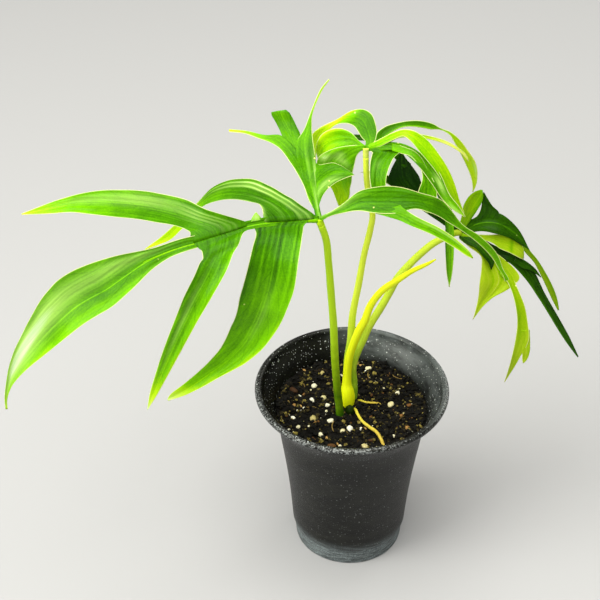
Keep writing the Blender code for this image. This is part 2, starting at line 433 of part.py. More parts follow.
def fuse(obj, others):
    """Joins the other objects to this one by one Boolean union on a collection, then removes them."""
    group = bpy.data.collections.new(obj.name + "_repeats")
    bpy.context.scene.collection.children.link(group)
    for other in others:
        bpy.context.scene.collection.objects.unlink(other)
        group.objects.link(other)
    union = obj.modifiers.new("join", "BOOLEAN")
    union.operation = "UNION"
    union.solver = "MANIFOLD"  # EXACT takes minutes on this many thin lobes
    union.operand_type = "COLLECTION"
    union.collection = group
    apply_modifier(obj, union)
    for other in others:
        bpy.data.objects.remove(other, do_unlink=True)
    bpy.data.collections.remove(group)
    keep_largest_body(obj)


def keep_largest_body(obj):
    """Keeps only the widest connected surface: hollows that fusing sealed are filled, and scraps dropped."""
    shape = bmesh.new()
    shape.from_mesh(obj.data)
    unseen = set(shape.verts)
    bodies = []
    while unseen:
        stack, body = [unseen.pop()], []
        while stack:
            vertex = stack.pop()
            body.append(vertex)
            for edge in vertex.link_edges:
                other = edge.other_vert(vertex)
                if other in unseen:
                    unseen.remove(other)
                    stack.append(other)
        bodies.append(body)
    bodies.sort(key=lambda body: np.ptp([v.co[:] for v in body], axis=0).sum())
    for body in bodies[:-1]:
        bmesh.ops.delete(shape, geom=body, context="VERTS")
    shape.to_mesh(obj.data)
    shape.free()


def cut(obj, cutters):
    """Takes each cutter out of the object, then removes it."""
    for cutter in cutters:
        hole = obj.modifiers.new("cut", "BOOLEAN")
        hole.operation = "DIFFERENCE"
        hole.solver = "MANIFOLD"  # the soil has hundreds of small faces, which EXACT handles slowly
        hole.object = cutter
        cutter.hide_render = True
        cutter.display_type = "WIRE"
        apply_modifier(obj, hole)
        bpy.data.objects.remove(cutter, do_unlink=True)
    keep_largest_body(obj)


def smooth_path(points, steps):
    """Even samples of the cubic Hermite curve through the points, whose slopes are central differences."""
    knots = np.asarray(points, float)
    length = np.concatenate([[0.0], np.cumsum(np.linalg.norm(np.diff(knots[:, :3], axis=0), axis=1))])
    slopes = np.gradient(knots, length, axis=0)
    at = np.linspace(0.0, length[-1], steps + 1)
    cell = np.clip(np.searchsorted(length, at, side="right") - 1, 0, len(knots) - 2)
    span = (length[cell + 1] - length[cell])[:, None]
    t = (at - length[cell])[:, None] / span
    return (
        (2 * t**3 - 3 * t**2 + 1) * knots[cell]
        + (t**3 - 2 * t**2 + t) * span * slopes[cell]
        + (-2 * t**3 + 3 * t**2) * knots[cell + 1]
        + (t**3 - t**2) * span * slopes[cell + 1]
    )


def unit(vectors):
    return vectors / np.linalg.norm(vectors, axis=-1, keepdims=True)


def band_faces(bands, sides):
    """Quads between rings of points that follow each other, each ring with this many points."""
    quads = []
    for i in range(bands):
        for j in range(sides):
            a, b = i * sides + j, i * sides + (j + 1) % sides
            quads.append((a, b, b + sides, a + sides))
    return quads


def end_faces(bands, sides):
    """Triangles that close the first and last ring on the two points that follow all the rings."""
    bottom = (bands + 1) * sides
    last = bands * sides
    fans = [(bottom, (j + 1) % sides, j) for j in range(sides)]
    return fans + [(bottom + 1, last + j, last + (j + 1) % sides) for j in range(sides)]


def tube(name, points, steps, sides, step_share=0.0, spare=0.0, below=None):
    """A closed tube along the points, each with its radius, with flat ends.

    step_share raises the radius steadily once round and drops it back at a seam, as a rolled leaf does.
    For a cutter, spare widens the tube and lengthens both ends, and below leaves out what is over it.
    """
    path = smooth_path(points, steps)
    if below is not None:
        steps = int(np.nonzero(path[:, 2] < below)[0].max())
        path = path[: steps + 1]
    centre = path[:, :3]
    ahead = unit(np.gradient(centre, axis=0))
    across = unit(np.cross(ahead, (0.0, 1.0, 0.35)))
    upward = np.cross(across, ahead)
    centre = centre.copy()
    centre[0] -= ahead[0] * spare
    centre[-1] += ahead[-1] * spare
    turn = np.linspace(0.0, 2 * math.pi, sides, endpoint=False)
    radius = np.maximum(path[:, 3:4], FINEST_RADIUS) * (1 + step_share * turn / (2 * math.pi)) + spare
    ring = (
        centre[:, None]
        + across[:, None] * (radius * np.cos(turn))[..., None]
        + upward[:, None] * (radius * np.sin(turn))[..., None]
    )
    faces = band_faces(steps, sides)
    faces.append(tuple(range(sides)))
    faces.append(tuple(reversed(range(steps * sides, (steps + 1) * sides))))
    return mesh_object(name, ring.reshape(-1, 3), faces)


def lobe_path(points):
    """A lobe's middle, its half widths and the directions across it, row by row."""
    rows = np.asarray(points, float)
    reach = np.linalg.norm(rows[:, 3:], axis=1)
    return rows[:, :3], np.maximum(reach, FINEST_HALF_WIDTH), rows[:, 3:] / reach[:, None]


def lobe(name, points):
    """One lobe of a blade: a closed thin strip along its middle, channelled across, pointed at its tip."""
    centre, half, side = lobe_path(points)
    steps = len(centre) - 1
    across = 4 if half.max() >= WIDE_LOBE else 2
    normal = unit(np.cross(side, np.gradient(centre, axis=0)))
    along = np.concatenate([[0.0], np.cumsum(np.linalg.norm(np.diff(centre, axis=0), axis=1))])
    rise = LOBE_CHANNEL * half * np.clip(along / FLAT_ROOT, 0.0, 1.0) ** 2
    v = np.linspace(-1.0, 1.0, across + 1)
    surface = (
        centre[:, None]
        + side[:, None] * (half[:, None] * v)[..., None]
        + normal[:, None] * (rise[:, None] * np.abs(v) ** CHANNEL_POWER)[..., None]
    )
    top = surface + normal[:, None] * (BLADE / 2)
    under = surface - normal[:, None] * (BLADE / 2)
    columns = across + 1
    count = (steps + 1) * columns
    faces = []
    for i in range(steps):
        for j in range(across):
            a, b = i * columns + j, i * columns + j + 1
            c, d = b + columns, a + columns
            faces += [(a, b, c), (a, c, d)]
            faces += [(a + count, c + count, b + count), (a + count, d + count, c + count)]
    rim = [j for j in range(columns)]
    rim += [i * columns + across for i in range(1, steps + 1)]
    rim += [steps * columns + j for j in range(across - 1, -1, -1)]
    rim += [i * columns for i in range(steps - 1, 0, -1)]
    for a, b in zip(rim, rim[1:] + rim[:1]):
        faces += [(a, b + count, b), (a, a + count, b + count)]
    return mesh_object(name, np.concatenate([top.reshape(-1, 3), under.reshape(-1, 3)]), faces)


def main_vein(points, thick, thin):
    """The curve of a blade's main vein: it lies under a lobe's middle, and thins steadily from its root."""
    radii = np.linspace(thick, thin, len(points))
    return [(x, y, z - VEIN_SINK, radius) for (x, y, z, *_), radius in zip(points, radii)]


def leaf(name, lobes, stalk, hub, vein, finish):
    """A blade: its lobes and main vein fused to the collar that stands on the end of its stalk."""
    end = smooth_path(stalk, 2 * STALK_STEPS)
    ahead = unit(end[-1, :3] - end[-2, :3])
    start = end[-1, :3] + ahead * SEAT_GAP
    collar = [(*start, end[-1, 3]), (*(start + ahead * COLLAR_LENGTH), end[-1, 3]), (*hub, HUB_RADIUS)]
    body = tube(name, collar, 3, STALK_SIDES)
    pieces = [lobe(name + "_" + key, points) for key, points in lobes.items()]
    pieces.append(tube(name + "_vein", vein, VEIN_STEPS, VEIN_SIDES))
    fuse(body, pieces)
    body.data.materials.clear()
    body.data.materials.append(finish)
    return body


def stalk_piece(name, points, steps, sides, finish, step_share=0.0):
    piece = tube(name, points, steps, sides, step_share)
    piece.data.materials.append(finish)
    return piece


def pot_inside():
    """The inner wall (radius, height) from under the lip down to the floor."""
    wall = [(radius - WALL, height) for radius, height in [NECK, *reversed(WALL_OUTLINE)]]
    foot = FOOT_RADIUS + FOOT_FLARE + FOOT_STEP - WALL
    return [*FLARE_INSIDE, *wall, (foot, FOOT_HEIGHT + FOOT_STEP_RISE), (FOOT_RADIUS - WALL / 2, FLOOR)]


def pot_outline():
    """The wall's outline (radius, height), from the underside's middle round to the floor's middle."""
    foot_top = FOOT_RADIUS + FOOT_FLARE
    outside = [
        (0.0, 0.0), (FOOT_RADIUS - FOOT_ROUNDING, 0.0), (FOOT_RADIUS, FOOT_ROUNDING), (foot_top, FOOT_HEIGHT),
        (foot_top + FOOT_STEP, FOOT_HEIGHT + FOOT_STEP_RISE), *WALL_OUTLINE, NECK, *FLARE_OUTSIDE,
    ]
    bead = [
        (
            RIM_RADIUS + LIP_RADIUS * (math.cos(turn) - 1),
            POT_HEIGHT + LIP_RADIUS * (math.sin(turn) - 1),
        )
        for turn in np.radians(LIP_TURNS)
    ]
    return [*outside, *bead, *pot_inside(), (0.0, FLOOR)]


def revolve(name, outline, sides):
    """A closed body from an outline that starts and ends on the axis."""
    rings = np.asarray(outline[1:-1], float)
    turn = np.linspace(0.0, 2 * math.pi, sides, endpoint=False)
    points = np.stack(
        [
            rings[:, :1] * np.cos(turn),
            rings[:, :1] * np.sin(turn),
            np.repeat(rings[:, 1:], sides, axis=1),
        ],
        axis=-1,
    ).reshape(-1, 3)
    points = np.concatenate([points, [(0.0, 0.0, outline[0][1]), (0.0, 0.0, outline[-1][1])]])
    faces = band_faces(len(rings) - 1, sides) + end_faces(len(rings) - 1, sides)
    return mesh_object(name, points, faces)


def build_pot(finish):
    pot = revolve("pot", pot_outline(), POT_SIDES)
    drains = []
    for i in range(DRAIN_HOLES):
        angle = 2 * math.pi * (i + 0.5) / DRAIN_HOLES
        x, y = DRAIN_CIRCLE * math.cos(angle), DRAIN_CIRCLE * math.sin(angle)
        ends = [(x, y, -CUT_SPARE, DRAIN_RADIUS), (x, y, FLOOR + CUT_SPARE, DRAIN_RADIUS)]
        drains.append(tube("drain", ends, 1, DRAIN_SIDES))
    cut(pot, drains)
    pot.data.materials.append(finish)
    return pot


def soil_height(x, y):
    """The level of the soil's surface: crossed sine waves over a slightly domed middle."""
    level = SOIL_LEVEL + SOIL_DOME * (0.5 - np.hypot(x, y) / RIM_RADIUS)
    for x_pace, y_pace, start, height in SOIL_WAVES:
        level = level + height * np.sin(x_pace * x + y_pace * y + start)
    return level


def soil_wall_radius(z):
    """The radius of the pot's inner wall at a height, less the gap to the soil."""
    radii, heights = zip(*reversed(pot_inside()))
    return np.interp(z, heights, radii) - SEAT_GAP - FACET_SPARE


def soil_block():
    """The soil as a closed body: a flat base, a wall along the pot's, and a waved surface."""
    turn = np.linspace(0.0, 2 * math.pi, SOIL_SEGMENTS, endpoint=False)
    edge = float(soil_wall_radius(SOIL_LEVEL))
    edge_level = soil_height(edge * np.cos(turn), edge * np.sin(turn))
    levels = [FLOOR + SEAT_GAP, FOOT_HEIGHT + FOOT_STEP_RISE, *[z for _, z in WALL_OUTLINE], NECK[1]]
    rings = []
    for z in levels:
        radius = float(soil_wall_radius(z))
        rings.append(np.stack([radius * np.cos(turn), radius * np.sin(turn), np.full_like(turn, z)], -1))
    for share in np.linspace(1.0, 0.0, SOIL_RINGS, endpoint=False):
        radius = soil_wall_radius(edge_level) * share
        x, y = radius * np.cos(turn), radius * np.sin(turn)
        rings.append(np.stack([x, y, soil_height(x, y)], -1))
    points = np.concatenate(rings)
    centre = [(0.0, 0.0, FLOOR + SEAT_GAP), (0.0, 0.0, float(soil_height(0.0, 0.0)))]
    faces = band_faces(len(rings) - 1, SOIL_SEGMENTS) + end_faces(len(rings) - 1, SOIL_SEGMENTS)
    return mesh_object("soil", np.concatenate([points, centre]), faces)


def grain(x, y, half_size, form, draw):
    """One grain of perlite or bark: a jittered icosahedron, turned at random and partly sunk in the soil."""
    shape = bmesh.new()
    bmesh.ops.create_icosphere(shape, subdivisions=1, radius=1.0)
    corners = np.array([v.co[:] for v in shape.verts])
    faces = [tuple(v.index for v in f.verts) for f in shape.faces]
    shape.free()
    corners *= draw.uniform(*GRAIN_JITTER, (len(corners), 1)) * np.array(form) * half_size
    turn = draw.uniform(0, 2 * math.pi)
    spin = np.array([[math.cos(turn), -math.sin(turn), 0], [math.sin(turn), math.cos(turn), 0], [0, 0, 1]])
    level = float(soil_height(x, y)) + (1 - 2 * GRAIN_SUNK) * form[2] * half_size
    return mesh_object("grain", corners @ spin.T + (x, y, level), faces, smooth=False)


def rooted_curves():
    """Each curve that stands or lies in the soil, with its tube's steps and sides."""
    return [
        (PETIOLE_A, STALK_STEPS, STALK_SIDES),
        (PETIOLE_B, STALK_STEPS, STALK_SIDES),
        (PETIOLE_C, STALK_STEPS, STALK_SIDES),
        (NEW_SHOOT, SHOOT_STEPS, SHOOT_SIDES),
        (STEM_STUB, STUB_STEPS, STALK_SIDES),
        (AERIAL_ROOT_LONG, ROOT_STEPS, ROOT_SIDES),
        (AERIAL_ROOT_SHORT, ROOT_STEPS, ROOT_SIDES),
    ]


def spare_places(draw):
    """(x, y, half size) of further grains, clear of every stem and root and of the grains already placed."""
    low_paths = []
    for curve, _, _ in rooted_curves():
        path = smooth_path(curve, 2 * STALK_STEPS)
        low_paths.append(path[path[:, 2] < SOIL_LEVEL + LOW_STEM])
    kept_out = np.concatenate(low_paths)
    placed = list(PERLITE + BARK)
    while len(placed) < len(PERLITE + BARK) + SPARE_GRAINS:
        radius, angle = GRAIN_FIELD * math.sqrt(draw.uniform()), draw.uniform(0, 2 * math.pi)
        x, y, size = radius * math.cos(angle), radius * math.sin(angle), draw.uniform(*SPARE_SIZES)
        stem_gap = (np.hypot(kept_out[:, 0] - x, kept_out[:, 1] - y) - kept_out[:, 3]).min()
        grain_gap = min(math.hypot(x - a, y - b) - c for a, b, c in placed)
        if min(stem_gap, grain_gap) > size + GRAIN_CLEARANCE:
            placed.append((x, y, size))
    return placed[len(PERLITE + BARK):]


def soil_grains():
    """Perlite and bark where they show, and more of both by a seeded draw."""
    draw = np.random.default_rng(SOIL_SEED)
    spare = spare_places(draw)
    half = len(spare) // 2
    white = [grain(x, y, size, PERLITE_FORM, draw) for x, y, size in PERLITE + spare[:half]]
    brown = [grain(x, y, size, BARK_FORM, draw) for x, y, size in BARK + spare[half:]]
    return white + brown


def build_soil(finish):
    soil = soil_block()
    fuse(soil, soil_grains())
    holes = []
    for curve, steps, sides in rooted_curves():
        step_share = SHEATH_STEP if curve is NEW_SHOOT else 0.0
        holes.append(tube("hole", curve, steps, sides, step_share, HOLE_SPARE, SOIL_LEVEL + 12.0))
    cut(soil, holes)
    soil.data.materials.clear()
    soil.data.materials.append(finish)
    return soil


def main():
    clear_scene()
    pot_plastic = material("pot_plastic", (0.035, 0.038, 0.045), 0.38)
    potting_mix = material("potting_mix", (0.022, 0.014, 0.009), 0.95)
    deep_green = material("leaf_green", (0.055, 0.24, 0.012), 0.33)
    shade_green = material("leaf_shade_green", (0.03, 0.12, 0.008), 0.35)
    stalk_green = material("stalk_yellow_green", (0.28, 0.5, 0.02), 0.42)
    olive_green = material("stalk_olive_green", (0.14, 0.26, 0.02), 0.45)
    old_green = material("old_stem_green", (0.05, 0.11, 0.015), 0.6)
    shoot_yellow = material("shoot_yellow_green", (0.6, 0.72, 0.03), 0.4)
    root_yellow = material("root_yellow", (0.62, 0.52, 0.06), 0.55)

    build_pot(pot_plastic)
    build_soil(potting_mix)
    stalk_piece("stem_stub", STEM_STUB, STUB_STEPS, STALK_SIDES, old_green)
    stalk_piece("petiole_a", PETIOLE_A, STALK_STEPS, STALK_SIDES, stalk_green)
    stalk_piece("petiole_b", PETIOLE_B, STALK_STEPS, STALK_SIDES, stalk_green)
    stalk_piece("petiole_c", PETIOLE_C, STALK_STEPS, STALK_SIDES, olive_green)
    stalk_piece("new_shoot", NEW_SHOOT, SHOOT_STEPS, SHOOT_SIDES, shoot_yellow, SHEATH_STEP)
    stalk_piece("aerial_root_long", AERIAL_ROOT_LONG, ROOT_STEPS, ROOT_SIDES, root_yellow)
    stalk_piece("aerial_root_short", AERIAL_ROOT_SHORT, ROOT_STEPS, ROOT_SIDES, root_yellow)

    vein_a = main_vein(LEAF_A_LOBES["terminal"][:14], 1.4, 0.75)
    vein_b = main_vein(LEAF_B_LOBES["outer_arch"][:4], 1.2, 1.0)
    vein_c = main_vein(LEAF_C_LOBES["long_dark"][:5], 1.2, 0.9)
    leaf("leaf_a", LEAF_A_LOBES, PETIOLE_A, LEAF_A_HUB, vein_a, deep_green)
    leaf("leaf_b", LEAF_B_LOBES, PETIOLE_B, LEAF_B_HUB, vein_b, deep_green)
    leaf("leaf_c", LEAF_C_LOBES, PETIOLE_C, LEAF_C_HUB, vein_c, shade_green)


main()
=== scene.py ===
import math

import bmesh
import bpy
import numpy as np
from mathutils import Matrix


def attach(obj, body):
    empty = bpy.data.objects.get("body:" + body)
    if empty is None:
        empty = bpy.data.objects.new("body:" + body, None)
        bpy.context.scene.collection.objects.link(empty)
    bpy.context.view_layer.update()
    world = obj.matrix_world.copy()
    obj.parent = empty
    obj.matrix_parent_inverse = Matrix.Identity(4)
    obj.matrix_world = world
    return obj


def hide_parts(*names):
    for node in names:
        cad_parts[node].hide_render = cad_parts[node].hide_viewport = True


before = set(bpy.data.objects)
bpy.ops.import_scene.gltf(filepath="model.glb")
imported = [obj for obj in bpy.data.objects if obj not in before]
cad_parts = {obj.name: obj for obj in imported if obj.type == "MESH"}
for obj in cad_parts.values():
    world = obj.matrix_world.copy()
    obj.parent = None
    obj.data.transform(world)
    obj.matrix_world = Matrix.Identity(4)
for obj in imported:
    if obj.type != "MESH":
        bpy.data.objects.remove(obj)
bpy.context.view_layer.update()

# Sizes are in millimetres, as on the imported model, and colours are linear.
MM = 0.001
BLADE = 0.8  # thickness of a leaf blade at its middle
TOWARD_LIGHT = (0.0, -0.75, 0.65)  # the way a lobe turns its upper face
GRID_STEP = 1.5  # length of one row of faces along a lobe
FEWEST_ROWS = 24
COLUMNS = [(7.0, 25), (4.0, 17), (0.0, 13)]  # (half width, points across a lobe that is wider than it)
CHANNEL = 0.22  # how far a lobe's edges rise over its middle, as a share of its half width
FLAT_ROOT = 16.0  # length over which a lobe turns from flat, at the main vein, to channelled
CALM_HALF = 6.0  # half width under which pleats and waves get lower
LONG_WAVE = 5.5  # the two waves along a lobe's edges: their lengths, over 2 pi
SHORT_WAVE = 2.9
ROOT_FADE = 2.5  # length over which a lobe's cream rim sets in
LOBE_OFFSET = 400.0  # puts each lobe in another stretch of the streaks' pattern
TIP_HALF = 1.5  # half width under which a lobe gets thinner
FINEST_HALF = 0.3
FINEST_RADIUS = 0.3
VEIN_SINK = 1.2  # depth of a main vein's middle under the middle of its lobe
STALK_ROWS = 42  # rows of a stem's path where only its place is read
COLLAR_LENGTH = 2.0  # length of a blade's own collar on the end of its stalk
HUB_RADIUS = 1.9  # radius of a blade where its lobes and its main vein meet
SEAT_GAP = 0.3  # gap between the mix and the pot
FLAT_SIDE_GAP = 0.1  # further gap there, because both are made of flat sides
SHOWN_GAP = 0.04  # the seam left between a stalk and its collar

# Pot
POT_HEIGHT = 121.5
RIM_RADIUS = 60.0
LIP_RADIUS = 2.1
FOOT_RADIUS = 34.4
FOOT_HEIGHT = 13.0
FOOT_FLARE = 1.0
FOOT_STEP = 1.1
FOOT_STEP_RISE = 1.2
FOOT_ROUNDING = 0.8
WALL = 1.2
FLOOR = 2.0
WALL_OUTLINE = [(38.7, 41.0), (41.2, 62.0), (43.9, 81.0)]  # (radius, height)
NECK = (46.6, 98.0)
FLARE_OUTSIDE = [(48.6, 105.0), (52.0, 111.5), (56.0, 116.6)]
FLARE_INSIDE = [(54.4, 116.6), (51.0, 112.2), (47.5, 105.4)]
POT_SIDES = 168
POLE_RADIUS = 2.0  # the pot's outline starts and ends at this distance from its axis
DRAIN_HOLES = 6
DRAIN_RADIUS = 3.0
DRAIN_CIRCLE = 24.0  # radius of the circle that the holes stand on

# Potting mix
SOIL_LEVEL = 104.5
SOIL_DOME = 1.6
SOIL_WAVES = [  # (turn for each mm of x, turn for each mm of y, start, height)
    (0.21, 0.17, 0.3, 0.30), (0.38, -0.31, 0.0, 0.32), (0.43, 0.55, 1.1, 0.27), (-0.12, 0.2, 2.0, 0.3),
]
SOIL_SIDES = 240
SOIL_RINGS = 84
SOIL_HEIGHTS = [41.0, 62.0, 81.0, 98.0, 101.0]  # of the mix's rings along the pot's wall
LUMP_WAVES = 40
LUMP_LENGTHS = (1.5, 9.0)
BED_SEED = 3
GRAIN_SEED = 11
CRUMB_SEED = 5

# Grains that show in the surface of the mix: (x, y, half size)
PERLITE = [
    (-17.7, 32, 1.8), (-22.8, 19, 2.1), (-17.3, 7.9, 2.1), (-29.6, -2, 1.0), (-15.6, -6.3, 1.3),
    (-24.1, -12.9, 2.4), (-13.2, -14.9, 2.2), (-6, -23, 1.9), (-1.5, -21.8, 2.3), (-19.6, -26, 1.9),
    (6.9, -38, 2.1), (1.3, -40.3, 1.4), (12.1, 35.7, 2.0), (19.3, 25.7, 1.3), (29.2, 10.9, 1.8),
    (24.6, 1.1, 2.3), (5, -21.2, 1.4), (-7.9, -36.8, 1.1), (32.3, -7.3, 1.0),
]
BARK = [
    (-36, 14.6, 3.0), (-29.6, 10.5, 1.6), (-12.9, -36.8, 3.0), (-15.8, -28.6, 1.4), (36, 0.8, 1.9),
    (-24.4, -28.7, 1.1), (34, -20, 2.2), (26, 20, 1.6), (7, 39, 1.6),
]
SPARE_GRAINS = 14  # further grains at drawn places
SPARE_SIZES = (1.1, 2.1)
PERLITE_FORM = (1.0, 0.85, 0.7)  # half sizes along, across and up, as shares of a grain's half size
BARK_FORM = (1.0, 0.62, 0.4)
GRAIN_JITTER = (0.82, 1.15)  # least and most reach of a grain's corners
GRAIN_SUNK = 0.35  # share of a grain's height that is in the mix
GRAIN_FIELD = 42.0  # radius within which the spare grains lie
GRAIN_CLEARANCE = 2.2
LOW_STEM = 14.0  # height over the mix within which a stem keeps grains away
CRUMB_FIELD = 46.6  # radius within which the crumbs lie
CRUMB_CLEARANCE = 0.2
FIBRES = 45
FIBRE_LENGTHS = (4, 13)
FIBRE_BEND = 1.2  # most that a fibre turns along its length, in radians
FIBRE_FIELD = 45.5
FIBRE_CLEARANCE = 1.0

# Small pieces all over the mix: how many, least and most half size, form, and how far some lie over the mix,
# as a share of their half size
PERLITE_CRUMBS = (150, (0.25, 1.0), (1, 0.9, 0.8), 0.6)
BARK_CRUMBS = (90, (0.4, 1.5), (1.3, 0.7, 0.5), 0.5)
SOIL_CRUMBS = (5200, (0.35, 1.7), (1.0, 0.85, 0.75), 0.5)

# Where the lobes of each blade meet
LEAF_A_HUB = (-21, -22, 260)
LEAF_B_HUB = (5, 18, 281)
LEAF_C_HUB = (66, 46, 204)

